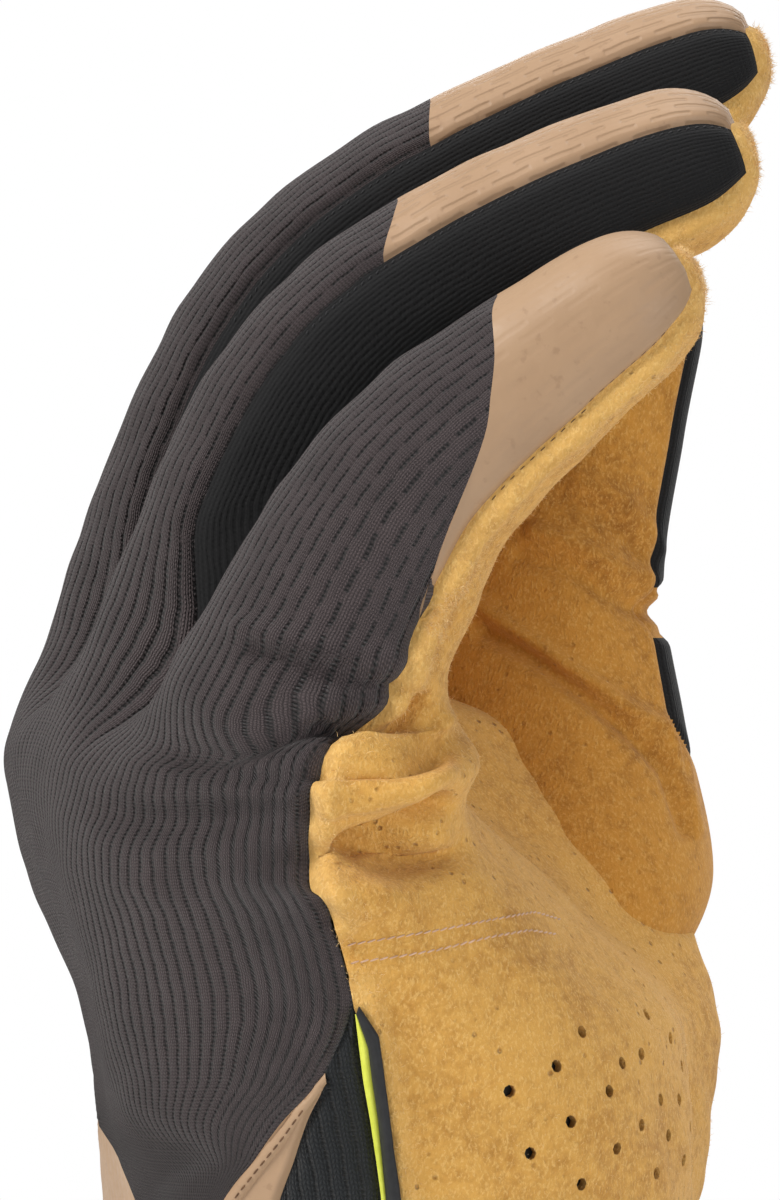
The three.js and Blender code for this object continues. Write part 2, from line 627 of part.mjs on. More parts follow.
/** The largest body of a solid, so that a cut leaves no crumbs. */
function mainBody(solid) {
  return solid.decompose().reduce((best, body) => (body.volume() > best.volume() ? body : best));
}

/** three.js geometry of a manifold solid. */
function toGeometry(solid) {
  const mesh = solid.getMesh();
  const geometry = new THREE.BufferGeometry();
  geometry.setAttribute("position", new THREE.BufferAttribute(new Float32Array(mesh.vertProperties), 3));
  geometry.setIndex(new THREE.BufferAttribute(new Uint32Array(mesh.triVerts), 1));
  geometry.computeVertexNormals();
  return geometry;
}

// Thumb, label and punched holes

/** Point on the thumb's skin. turn is in degrees from its black back. */
function thumbPoint(share, turn) {
  const at = (key) => through(THUMB_LINE.map((row) => ({ at: row.at, value: row[key] })), share);
  const domeFrom = 1 - THUMB_DOME / THUMB_LENGTH;
  const dome = Math.sqrt(Math.max(0, 1 - Math.max(0, (share - domeFrom) / (1 - domeFrom)) ** 2.4));
  const radius = (at("size") * THUMB_WIDTH * dome) / 2;
  const facing = rad(THUMB_BACK_TURN + turn);
  return new THREE.Vector3(
    THUMB_BASE.x + at("x") * THUMB_LENGTH - radius * Math.sin(facing),
    THUMB_BASE.y + at("y") * THUMB_LENGTH + radius * Math.cos(facing),
    THUMB_BASE.z + at("z") * THUMB_LENGTH,
  );
}

/** Suede front and black back of the thumb, as patches of their own skin. */
function thumbPatches() {
  const patch = (panel, from, to, columns) => ({
    panel,
    flip: true,
    grid: THUMB_SHARES.map((share) => shares(columns).map((u) => thumbPoint(share, mix(from, to, u)))),
  });
  return [
    patch("thumb_back", -THUMB_BLACK_HALF, THUMB_BLACK_HALF, THUMB_COLUMNS.back),
    patch("thumb_front", THUMB_BLACK_HALF, 360 - THUMB_BLACK_HALF, THUMB_COLUMNS.front),
  ];
}

/** Closed solid between rings of points; each ring is a closed loop of equal length. */
function ringSolid(rings) {
  const count = rings[0].length;
  const vertices = rings.flat().flatMap((p) => [p.x, p.y, p.z]);
  const triangles = [];
  for (let r = 0; r + 1 < rings.length; r += 1) {
    for (let c = 0; c < count; c += 1) {
      const next = (c + 1) % count;
      const [a, b, d, e] = [r * count + c, r * count + next, (r + 1) * count + next, (r + 1) * count + c];
      triangles.push(a, b, d, a, d, e);
    }
  }
  for (const [r, turned] of [[0, true], [rings.length - 1, false]]) {
    const middle = rings[r].reduce((sum, p) => sum.add(p), new THREE.Vector3()).divideScalar(count);
    const centre = vertices.length / 3;
    vertices.push(middle.x, middle.y, middle.z);
    for (let c = 0; c < count; c += 1) {
      const pair = [r * count + c, r * count + ((c + 1) % count)];
      if (turned) pair.reverse();
      triangles.push(centre, ...pair);
    }
  }
  return new wasm.Manifold(new wasm.Mesh({
    numProp: 3,
    vertProperties: new Float32Array(vertices),
    triVerts: new Uint32Array(triangles),
  }));
}

/** The filled hand below the fingers, grown outwards by `grow`. */
function filledHand(grow) {
  const heights = [0, ...rowsBetween(0, GUSSET_TOP), ...HAND_ROWS];
  const rings = heights.map((height) => {
    const middle = linePoint("ulnar", height).add(linePoint("radial", height)).multiplyScalar(0.5);
    return shares(60).slice(0, -1).map((share) => {
      const point = handPoint(-share * LINE_ORDER.length, height);
      return point.addScaledVector(point.clone().sub(middle).setZ(0).normalize(), grow);
    });
  });
  return ringSolid(rings);
}

/** The filled inside of the thumb, so that the palm opens into it. */
function filledThumb(wall) {
  const rings = THUMB_SHARES.slice(0, -2).map((share) => {
    const middle = thumbPoint(share, 0).add(thumbPoint(share, 180)).multiplyScalar(0.5);
    return shares(15).slice(0, -1).map((u) => {
      const point = thumbPoint(share, THUMB_BLACK_HALF + u * 360);
      return point.addScaledVector(middle.clone().sub(point).normalize(), wall);
    });
  });
  return ringSolid(rings);
}

/** Outward direction of the hand's skin at a place. */
function handNormal(around, height) {
  const step = 0.05;
  const across = handPoint(around + step, height).sub(handPoint(around - step, height));
  const up = handPoint(around, height + step / 5).sub(handPoint(around, height - step / 5));
  return up.cross(across).normalize();
}

/** Diamond grid of punched holes in the heel of the palm. */
const HOLES = { fromHeight: 0.435, rows: 6, rowStep: 0.029, fromAround: 9.12, toAround: 7.3, step: 0.46 };
function punches() {
  const pins = [];
  for (let row = 0; row < HOLES.rows; row += 1) {
    const height = HOLES.fromHeight + row * HOLES.rowStep;
    const shift = row % 2 ? HOLES.step / 2 : 0;
    for (let around = HOLES.fromAround - shift; around > HOLES.toAround; around -= HOLES.step) {
      const point = handPoint(around, height);
      const normal = handNormal(around, height);
      const turn = new THREE.Quaternion().setFromUnitVectors(new THREE.Vector3(0, 0, 1), normal);
      const euler = new THREE.Euler().setFromQuaternion(turn, "ZYX");
      const angles = [euler.x, euler.y, euler.z].map(THREE.MathUtils.radToDeg);
      pins.push(wasm.Manifold.cylinder(SUEDE_WALL * 6, HOLE_WIDTH / 2, HOLE_WIDTH / 2, 6, true)
        .rotate(angles).translate([point.x, point.y, point.z]));
    }
  }
  return wasm.Manifold.union(pins);
}

/** Folded label that lies on the gusset, beside the suede seam. */
function tagSolid() {
  const { fromHeight, toHeight, width, thickness } = TAG;
  const stepWidth = handPoint(0, fromHeight).distanceTo(handPoint(0.2, fromHeight)) / 0.2;
  const rings = shares(5).map((share) => {
    const height = mix(fromHeight, toHeight, share);
    const from = seamAt("palmUlnar", height) + 0.4 / stepWidth;
    const to = from + (width / stepWidth) * (share === 1 ? 0.35 : 1);
    return [[from, SEAM_GAP], [to, SEAM_GAP], [to, SEAM_GAP + thickness], [from, SEAM_GAP + thickness]]
      .map(([around, lift]) => handPoint(around, height).addScaledVector(handNormal(around, height), lift));
  });
  return ringSolid(rings);
}

addFingersAndHand();
addFourchettes();
addWrist();
const skin = weldSkin(patches);

const MATERIALS = {
  knit: { color: 0x554c4e, roughness: 0.9 },
  cap: { color: 0xac8c6e, roughness: 0.45 },
  suede: { color: 0xd7a55a, roughness: 0.95 },
  black: { color: 0x1c1e20, roughness: 0.9 },
  tag: { color: 0xd7dc46, roughness: 0.6 },
};
const PIECES = [
  { match: /^back_panel$/, material: "knit", wall: KNIT_WALL },
  { match: /^cap_/, material: "cap", wall: CAP_WALL },
  { match: /^palm_panel$/, material: "suede", wall: SUEDE_WALL },
  { match: /^wrist_panel$/, material: "cap", wall: CAP_WALL },
  { match: /^(fourchette|gusset|wrist_cuff)/, material: "black", wall: STRIP_WALL },
];

const tools = {
  hand: filledHand(SEAM_GAP * 2),
  thumb: filledThumb(SUEDE_WALL),
  holes: punches(),
};

const glove = new THREE.Group();
glove.name = "mechanic_glove";

function addPiece(name, solid, materialName) {
  const mesh = new THREE.Mesh(toGeometry(solid), new THREE.MeshStandardMaterial({ metalness: 0, ...MATERIALS[materialName] }));
  mesh.name = name;
  glove.add(mesh);
}

// Where folded neighbours would meet, the later piece is cut back by the seam gap.
const done = [];
for (const panel of skin.panels.keys()) {
  const piece = PIECES.find(({ match }) => match.test(panel));
  let solid = thicken(skin, panel, piece.wall);
  for (const earlier of done) {
    if (solid.intersect(earlier.solid).volume() < 1e-4) continue;
    solid = mainBody(solid.subtract(grown(skin, earlier.panel, earlier.wall)));
  }
  done.push({ panel, solid, wall: piece.wall });
  if (panel === "palm_panel") solid = solid.subtract(tools.thumb).subtract(tools.holes);
  addPiece(panel, solid, piece.material);
}
const thumbSkin = weldSkin(thumbPatches());
const clearOfHand = tools.hand.add(grown(skin, "palm_panel", SUEDE_WALL)).add(grown(skin, "gusset_radial", STRIP_WALL));
for (const [panel, wall, material] of [["thumb_back", STRIP_WALL, "black"], ["thumb_front", SUEDE_WALL, "suede"]]) {
  addPiece(panel, mainBody(thicken(thumbSkin, panel, wall).subtract(clearOfHand)), material);
}
addPiece("side_tag", tagSolid(), "tag");

export default glove;
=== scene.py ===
"""Looks of a worn work glove: ribbed knit back, filmed caps, suede palm, black strips and cuff.

Lengths are millimetres while the skin is shaped and metres once it is a mesh. Z points up the
fingers, -Y out of the back of the hand, +X to the little finger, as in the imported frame.
"""

from __future__ import annotations

import logging
import math
from dataclasses import dataclass, field
from enum import Enum

import bpy
import numpy as np
from bpy.types import Material, Node, NodeSocket, NodeTree, Object
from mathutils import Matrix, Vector
from mathutils.bvhtree import BVHTree
from mathutils.kdtree import KDTree


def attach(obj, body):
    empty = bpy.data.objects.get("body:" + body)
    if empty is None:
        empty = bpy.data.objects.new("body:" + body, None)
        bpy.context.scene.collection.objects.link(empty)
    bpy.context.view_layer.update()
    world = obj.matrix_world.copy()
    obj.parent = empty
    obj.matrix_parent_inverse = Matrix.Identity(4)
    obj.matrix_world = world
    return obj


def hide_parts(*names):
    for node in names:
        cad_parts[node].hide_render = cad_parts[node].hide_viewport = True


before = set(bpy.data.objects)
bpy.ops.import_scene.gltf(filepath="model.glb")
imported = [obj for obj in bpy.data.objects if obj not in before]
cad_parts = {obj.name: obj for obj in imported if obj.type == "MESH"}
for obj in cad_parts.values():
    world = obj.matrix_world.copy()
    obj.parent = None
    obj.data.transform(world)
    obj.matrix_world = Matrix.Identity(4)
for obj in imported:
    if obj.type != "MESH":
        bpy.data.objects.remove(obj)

logging.basicConfig(level=logging.INFO, format="%(message)s")
log = logging.getLogger("glove")

Array = np.ndarray
MM = 0.001
CLOTH_UNIT = 100.0  # millimetres in one unit of the cloth coordinates
GAP_UNIT = 10.0  # millimetres in one unit of the edge coordinates
SAME = 1e-9
FAR = 1e9
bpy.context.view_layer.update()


class Side(Enum):
    """The two faces of a finger or hand."""

    BACK = "back"
    PALM = "palm"


class Stage(Enum):
    """Stretches of a finger, from its root to its end."""

    ROOT = 0
    CAP = 1
    END = 2


# Curves


def ease(low: float, high: float, value: Array) -> Array:
    """Smooth step from 0 at low to 1 at high."""
    share = np.clip((np.asarray(value, float) - low) / (high - low), 0.0, 1.0)
    return share * share * (3 - 2 * share)


def mix(first: Array, second: Array, share: Array) -> Array:
    """Straight blend between two values."""
    return first + (second - first) * share


def through(at: Array, values: Array, where: Array) -> Array:
    """Monotone cubic through knots.

    Args:
        at: places of the knots, rising.
        values: values at the knots.
        where: places to read.

    Returns:
        The value at each place, level beyond both ends.
    """
    slopes = np.diff(values) / np.diff(at)
    tangents = np.zeros(len(at))
    tangents[0], tangents[-1] = slopes[0], slopes[-1]
    product = slopes[:-1] * slopes[1:]
    total = slopes[:-1] + slopes[1:]
    tangents[1:-1] = np.where(product > 0, 2 * product / np.where(total == 0, 1, total), 0)
    where = np.asarray(where, float)
    i = np.clip(np.searchsorted(at, where, side="left") - 1, 0, len(at) - 2)
    span = at[i + 1] - at[i]
    t = np.clip((where - at[i]) / span, 0, 1)
    return (
        (2 * t**3 - 3 * t**2 + 1) * values[i]
        + (t**3 - 2 * t**2 + t) * span * tangents[i]
        + (-2 * t**3 + 3 * t**2) * values[i + 1]
        + (t**3 - t**2) * span * tangents[i + 1]
    )


# Skin of the fingers and the hand, from the same sizes as the solids

DOME_POWER = 2.4


@dataclass(frozen=True)
class Finger:
    """One finger: its root, its leaning centre line and its outside sizes in millimetres."""

    name: str
    x: float
    tip_x: float
    y: float
    z: float
    length: float
    root_lean: float
    joint_bend: float
    joint_at: float
    tip_bend: float
    width: float
    root_thickness: float
    tip_thickness: float
    back_slit: float
    cap_from: float
    cap_side_from: float
    joint_spread: float = 0.22
    steps: int = 400
    dome: float = 11.0
    squareness: float = 2.3
    taper: float = 0.9

    def lean(self, share: Array) -> Array:
        """Lean of the centre line in radians at a share of the length."""
        bend = ease(self.joint_at - self.joint_spread, self.joint_at + self.joint_spread, share)
        return np.radians(self.root_lean + self.joint_bend * bend + self.tip_bend * share)

    def line(self) -> tuple[Array, Array]:
        """The centre line at even steps.

        Returns:
            Its Y and its Z.
        """
        middle = (np.arange(self.steps) + 0.5) / self.steps
        step = self.length / self.steps
        run = np.concatenate([[0], np.cumsum(step * np.sin(self.lean(middle)))])
        rise = np.concatenate([[0], np.cumsum(step * np.cos(self.lean(middle)))])
        return self.y + run, self.z + rise

    def point(self, along: Array, turn: Array) -> Array:
        """Point on the skin.

        Args:
            along: millimetres from the root.
            turn: degrees from the back, + towards the little finger.

        Returns:
            Points with a last axis of x, y, z.
        """
        along, turn = np.broadcast_arrays(np.asarray(along, float), np.asarray(turn, float))
        share = np.clip(along / self.length, 0, 1)
        line_y, line_z = self.line()
        at = np.linspace(0, 1, self.steps + 1)
        lean = self.lean(share)
        before = np.minimum(along, 0)
        y = np.interp(share, at, line_y) + before * np.sin(lean)
        z = np.interp(share, at, line_z) + before * np.cos(lean)
        x = mix(self.x, self.tip_x, share)
        dome_from = 1 - self.dome / self.length
        past = np.maximum(0, (share - dome_from) / (1 - dome_from))
        dome = np.sqrt(np.maximum(0, 1 - past**DOME_POWER))
        thickness = mix(self.root_thickness, self.tip_thickness, share) * dome
        width = self.width * mix(1, self.taper, share) * dome
        power = 2 / self.squareness
        sine, cosine = np.sin(np.radians(turn)), np.cos(np.radians(turn))
        side = np.sign(sine) * np.abs(sine) ** power
        back = np.sign(cosine) * np.abs(cosine) ** power
        x = x + side * width / 2
        y = y - back * thickness * np.cos(lean) / 2
        z = z + back * thickness * np.sin(lean) / 2
        return np.stack([x, y, z], axis=-1)


FINGERS = (
    Finger("pinky", 35, 37.5, -4.5, 120.7, 56, 27, 20, 0.27, 8, 20, 28, 16.5, 18, 0.64, 0),
    Finger("ring", 12.5, 13.5, -14.9, 131.1, 75, 22, 22, 0.25, 30, 20.5, 27, 19, 18, 0.47, 0.4),
    Finger("middle", -10.5, -11.5, -23.3, 128.5, 95.5, 18, 27, 0.33, 27, 21, 27, 18, 16, 0.59, 0.56),
    Finger("index", -34, -36, -20.5, 124, 79, 20, 22, 0.28, 28, 21, 26, 18, 15, 0.5, 0.47),
)
LAST = len(FINGERS) - 1

HAND_LINES = {
    "ulnar": ((0, 0.4, -0.03), (0.4, 0.43, -0.03), (0.68, 0.475, -0.08), (0.86, 0.5, -0.09)),
    "pinky_back": ((0, 0.3, -0.2), (0.4, 0.33, -0.26), (0.6, 0.36, -0.33), (0.8, 0.38, -0.35)),
    "ring_back": ((0, 0.12, -0.28), (0.4, 0.13, -0.35), (0.6, 0.14, -0.375), (0.82, 0.14, -0.45)),
    "middle_back": (
        (0, -0.09, -0.29), (0.21, -0.1, -0.32), (0.41, -0.11, -0.365),
        (0.6, -0.115, -0.39), (0.78, -0.12, -0.475), (0.86, -0.12, -0.5),
    ),
    "index_back": ((0, -0.28, -0.24), (0.4, -0.33, -0.31), (0.6, -0.36, -0.37), (0.82, -0.37, -0.45)),
    "radial": ((0, -0.4, -0.02), (0.4, -0.45, 0.02), (0.68, -0.49, 0.02), (0.86, -0.505, -0.08)),
    "index_palm": (
        (0, -0.25, 0.23), (0.25, -0.28, 0.3), (0.42, -0.31, 0.385),
        (0.56, -0.33, 0.41), (0.7, -0.36, 0.38), (0.84, -0.38, 0.22),
    ),
    "middle_palm": (
        (0, -0.08, 0.27), (0.25, -0.09, 0.33), (0.42, -0.1, 0.385),
        (0.55, -0.11, 0.38), (0.68, -0.12, 0.24), (0.82, -0.12, 0.03),
    ),
    "ring_palm": (
        (0, 0.1, 0.26), (0.25, 0.11, 0.32), (0.42, 0.12, 0.37),
        (0.55, 0.13, 0.355), (0.68, 0.14, 0.22), (0.82, 0.14, 0.05),
    ),
    "pinky_palm": (
        (0, 0.28, 0.15), (0.25, 0.31, 0.2), (0.42, 0.34, 0.24), (0.56, 0.36, 0.22),
        (0.7, 0.37, 0.15), (0.82, 0.37, 0.09), (0.9, 0.37, 0.11),
    ),
}
AROUND = len(HAND_LINES)
LINE_FINGERS = {"pinky": 0, "ring": 1, "middle": 2, "index": 3}

# Seams on the hand: height share, then places around the hand in steps of its control lines
SEAM_NAMES = ("back_ulnar", "back_radial", "wrist_ulnar", "wrist_radial", "palm_ulnar", "palm_radial")
SEAM_ROWS = (
    (0.2, 1.12, 1.12, 0.72, 4.0, -0.4, 5.4),
    (0.35, 1.12, 1.12, 0.56, 4.0, -0.22, 5.22),
    (0.433, 0.7, 1.49, 0.415, 4.0, -0.12, 5.1),
    (0.458, 0.58, 1.67, 0.355, 4.0, -0.11, 5.06),
    (0.475, 0.49, 2.04, 0.31, 4.0, -0.11, 5.03),
    (0.494, 0.41, 2.77, 0.265, 3.98, -0.11, 5.0),
    (0.52, 0.3, 3.45, 0.2, 3.96, -0.11, 4.95),
    (0.568, 0.08, 3.95, 0.08, 3.95, -0.115, 4.87),
    (0.65, -0.11, 4.75, 0.08, 3.95, -0.11, 4.75),
    (0.735, -0.045, 4.75, 0.08, 3.95, -0.045, 4.75),
    (0.78, 0.05, 4.75, 0.08, 3.95, 0.05, 4.75),
    (0.9, 0.03, 4.75, 0.08, 3.95, 0.03, 4.75),
    (0.93, -0.38, 4.75, 0.08, 3.95, -0.38, 4.75),
    (1.0, -0.5, 4.75, 0.08, 3.95, -0.5, 4.75),
)
CUFF_TOP = 0.2
TONGUE_TIP = 0.35
TRIM_TOP = 0.568
GUSSET_TOP = 0.65
BODY_BLEND = 0.86
ROOT_ROWS = 0.9

# Turns around a finger in degrees, shares of its length and its rounded end in millimetres
BACK_EDGE = 62.0
PALM_EDGE = 122.0
PINKY_SEAM = 126.0
RADIAL_SEAM = 105.0
SIDE_TURN = 92.0
RIM_TURN = 25.0
CAP_FLAT = 10.0
ROOT_BLEND = 0.3
CAP_CURVE = 1.6
PINKY_CAP_EDGE = ((0, 0), (0.46, 0.12), (0.65, 0.23), (0.78, 0.37), (0.87, 0.54), (0.94, 0.8), (1, 1))
RIM_LENGTH = 1.4
TIP_RIM = 0.7
PALM_CURVE = 0.7


def neighbours(index: int) -> list[tuple[int, int]]:
    """Edges of a finger, 0 or 1 across it, that face another finger, and that finger's number."""
    return [(edge, index + step) for edge, step in ((0, -1), (1, 1)) if 0 <= index + step <= LAST]


def edge_pull(edge: int, u: Array) -> Array:
    """Half at one edge of a finger, falling to nothing at its middle."""
    half = (u < 0.5) if edge == 0 else (u >= 0.5)
    return np.abs(2 * u - 1) ** 2 * 0.5 * half


@dataclass
class HandSkin:
    """The glove's outside skin as functions, before it is cut into dense grids."""

    width: float = 91.0
    depth: float = 94.0
    palm_height: float = 118.0
    fold_depth: float = 4.5
    folds: tuple = (
        (0.965, 0.026, 9.6, 0.55, 0.9),
        (0.918, 0.016, 9.75, 0.42, -0.8),
        (0.88, 0.03, 9.6, 0.6, 1.0),
        (0.795, 0.02, 9.62, 0.45, -1.3),
        (0.755, 0.028, 9.85, 0.4, 0.5),
        (0.94, 0.02, 0.9, 0.6, -0.5),
        (0.845, 0.02, 0.6, 0.6, -0.5),
    )

    def seam(self, name: str, height: Array) -> Array:
        """Where a seam runs around the hand.

        Args:
            name: the seam.
            height: height shares.

        Returns:
            Its place at each height, in steps of the control lines.
        """
        column = 1 + SEAM_NAMES.index(name)
        at = np.array([row[0] for row in SEAM_ROWS])
        return through(at, np.array([row[column] for row in SEAM_ROWS]), height)

    def line_end(self, name: str) -> Array:
        """Where a control line joins its finger.

        Args:
            name: the control line.

        Returns:
            Its end, as x, y, z.
        """
        if name == "ulnar":
            return FINGERS[0].point(-FINGERS[0].back_slit / 2, SIDE_TURN)
        if name == "radial":
            return FINGERS[LAST].point(-FINGERS[LAST].back_slit / 2, -SIDE_TURN)
        finger = FINGERS[LINE_FINGERS[name.split("_")[0]]]
        if name.endswith("back"):
            return finger.point(-finger.back_slit, 0)
        return finger.point(0, 180)

    def lines(self, height: Array) -> Array:
        """All control lines at the given heights.

        Args:
            height: height shares.

        Returns:
            Points, lines x heights x 3.
        """
        made = []
        for name, rows in HAND_LINES.items():
            end = self.line_end(name)
            at = np.array([row[0] for row in rows] + [1.0])
            x = through(at, np.array([row[1] * self.width for row in rows] + [end[0]]), height)
            y = through(at, np.array([row[2] * self.depth for row in rows] + [end[1]]), height)
            z = self.palm_height * height + (end[2] - self.palm_height) * height**2
            made.append(np.stack([x, y, z], axis=-1))
        return np.stack(made)

    def point(self, around: Array, height: Array) -> Array:
        """Closed curve through the control lines, with the folds pressed in.

        Args:
            around: places around the hand, rows x columns.
            height: height shares, rows x 1.

        Returns:
            Points, rows x columns x 3.
        """
        turn = np.mod(around, AROUND)
        first = np.floor(turn).astype(int)
        t = (turn - first)[..., None]
        lines = self.lines(height[:, 0])
        row = np.arange(len(height))[:, None]
        a, b, c, d = [lines[(first + step) % AROUND, row] for step in (-1, 0, 1, 2)]
        point = 0.5 * (
            2 * b + (c - a) * t + (2 * a - 5 * b + 4 * c - d) * t**2 + (3 * b - a - 3 * c + d) * t**3
        )
        names = list(HAND_LINES)
        axis = (lines[names.index("ulnar")] + lines[names.index("radial")])[:, None] / 2
        outward = point - axis
        outward[..., 2] = 0
        outward /= np.linalg.norm(outward, axis=-1, keepdims=True)
        for at_height, tall, at_around, wide, depth in self.folds:
            gap = np.abs(turn - at_around)
            gap = np.minimum(gap, AROUND - gap)
            press = np.exp(-((gap / wide) ** 2) - ((height - at_height) / tall) ** 2)
            point = point + outward * (self.fold_depth * depth * press)[..., None]
        return point

    def turn_across(self, index: int, side: Side, u: Array) -> Array:
        """Turn around a finger.

        Args:
            index: the finger.
            side: its back or palm side.
            u: share across it.

        Returns:
            Degrees from the middle of its back.
        """
        edge = BACK_EDGE if side is Side.BACK else PALM_EDGE
        first = PINKY_SEAM if index == 0 else edge
        last = RADIAL_SEAM if index == LAST else edge
        return mix(first, -last if side is Side.BACK else 360 - last, u)

    def along(self, index: int, turn: Array, stage: Stage, share: Array) -> Array:
        """How far along a finger a row lies.

        Args:
            index: the finger.
            turn: degrees from the middle of its back.
            stage: stretch of the finger.
            share: share of it.

        Returns:
            Millimetres from its root, - below it.
        """
        finger = FINGERS[index]
        around = np.where(turn > 180, 360 - turn, np.abs(turn))
        start = -finger.back_slit * (1 - ease(BACK_EDGE, PALM_EDGE, around))
        far_side = (turn > 180) | (turn < 0)
        full = finger.cap_side_from
        if index == 0:
            full = np.where(far_side, finger.cap_from, full)
        aside = np.clip((around - CAP_FLAT) / ((PINKY_SEAM if index == 0 else BACK_EDGE) - CAP_FLAT), 0, 1)
        curve = aside**CAP_CURVE
        if index == 0:
            knots, sizes = np.array(PINKY_CAP_EDGE, float).T
            curve = np.where(far_side, curve, through(knots, sizes, aside))
        cap = finger.length * mix(finger.cap_from, full, curve)
        if index == 0:
            over = np.clip((turn - PINKY_SEAM) / (360 - PALM_EDGE - PINKY_SEAM), 0, 1) ** PALM_CURVE
            cap = np.where(turn > PINKY_SEAM, finger.length * finger.cap_from * over, cap)
        whole = (SIDE_TURN, PINKY_SEAM) if index == 0 else (RIM_TURN, BACK_EDGE)
        reach = np.where(far_side & (index == 0), ease(RIM_TURN, BACK_EDGE, around), ease(*whole, around))
        rim = finger.length - mix(TIP_RIM, RIM_LENGTH, reach)
        if stage is Stage.ROOT:
            return mix(start, cap, share)
        if stage is Stage.CAP:
            return mix(cap, rim, share)
        return mix(rim, finger.length, share)

    def finger_point(self, index: int, turn: Array, stage: Stage, share: Array) -> Array:
        """Point of a finger's own skin."""
        turn, share = np.broadcast_arrays(np.asarray(turn, float), np.asarray(share, float))
        return FINGERS[index].point(self.along(index, turn, stage, share), turn)

    def parted(self, stage: Stage, share: Array) -> Array:
        """How far two neighbouring fingers have parted at a row."""
        return ease(0, ROOT_BLEND, share) if stage is Stage.ROOT else np.ones_like(share)

    def joint_point(self, index: int, side: Side, u: Array, stage: Stage, share: Array) -> Array:
        """Finger skin pulled to the seam that it shares with its neighbour at the root.

        Args:
            index: the finger.
            side: its back or palm side.
            u: share across it.
            stage: stretch of the finger.
            share: share of it.

        Returns:
            Points, rows x columns x 3.
        """
        point = self.finger_point(index, self.turn_across(index, side, u), stage, share)
        opening = self.parted(stage, share)
        for edge, neighbour in neighbours(index):
            own_turn = self.turn_across(index, side, np.array([[float(edge)]]))
            other_turn = self.turn_across(neighbour, side, np.array([[1.0 - edge]]))
            own = self.finger_point(index, own_turn, stage, share)
            other = self.finger_point(neighbour, other_turn, stage, share)
            pull = edge_pull(edge, u) * (1 - opening)
            point = point + (other - own) * pull[..., None]
        return point

    def around_across(self, index: int, side: Side, u: Array, height: Array) -> Array:
        """Place around the hand within one finger's stretch of it.

        Args:
            index: the finger.
            side: back or palm.
            u: share across it.
            height: height shares.

        Returns:
            Places in steps of the control lines.
        """
        ulnar = self.seam("back_ulnar" if side is Side.BACK else "palm_ulnar", height)
        radial = self.seam("back_radial" if side is Side.BACK else "palm_radial", height)
        if side is Side.PALM:
            first = AROUND + ulnar if index == 0 else AROUND - 0.5 - index
            last = radial if index == LAST else AROUND - 1.5 - index
            return mix(first, last, u)
        ulnar_top = float(self.seam("back_ulnar", np.array(BODY_BLEND)))
        radial_top = float(self.seam("back_radial", np.array(BODY_BLEND)))
        first = ulnar_top if index == 0 else index + 0.5
        last = radial_top if index == LAST else index + 1.5
        place = mix(first, last, u) + 0 * height
        high = mix(ulnar, last, u) if index == 0 else place
        low = mix(ulnar, radial, (place - ulnar_top) / (radial_top - ulnar_top))
        return mix(low, high, ease(GUSSET_TOP, BODY_BLEND, height))

    def body_point(self, index: int, side: Side, u: Array, height: Array) -> Array:
        """Point below the finger roots, shaped into the fingers near them.

        Args:
            index: the finger above it.
            side: back or palm.
            u: share across it.
            height: height shares.

        Returns:
            Points, rows x columns x 3.
        """
        point = self.point(self.around_across(index, side, u, height), height)
        weight = ease(BODY_BLEND, 1, height)[..., None]
        below = (1 - height) * self.palm_height

        def shaped(which: int, share: Array) -> Array:
            """The finger's own skin, carried on below its root."""
            turn = self.turn_across(which, side, share)
            root = self.along(which, turn, Stage.ROOT, np.zeros_like(turn))
            return FINGERS[which].point(root - below, turn)

        target = shaped(index, u)
        for edge, neighbour in neighbours(index):
            apart = shaped(neighbour, np.array([[1.0 - edge]])) - shaped(index, np.array([[float(edge)]]))
            target = target + apart * edge_pull(edge, u)[..., None]
        return mix(point, target, weight)


# Dense welded skin


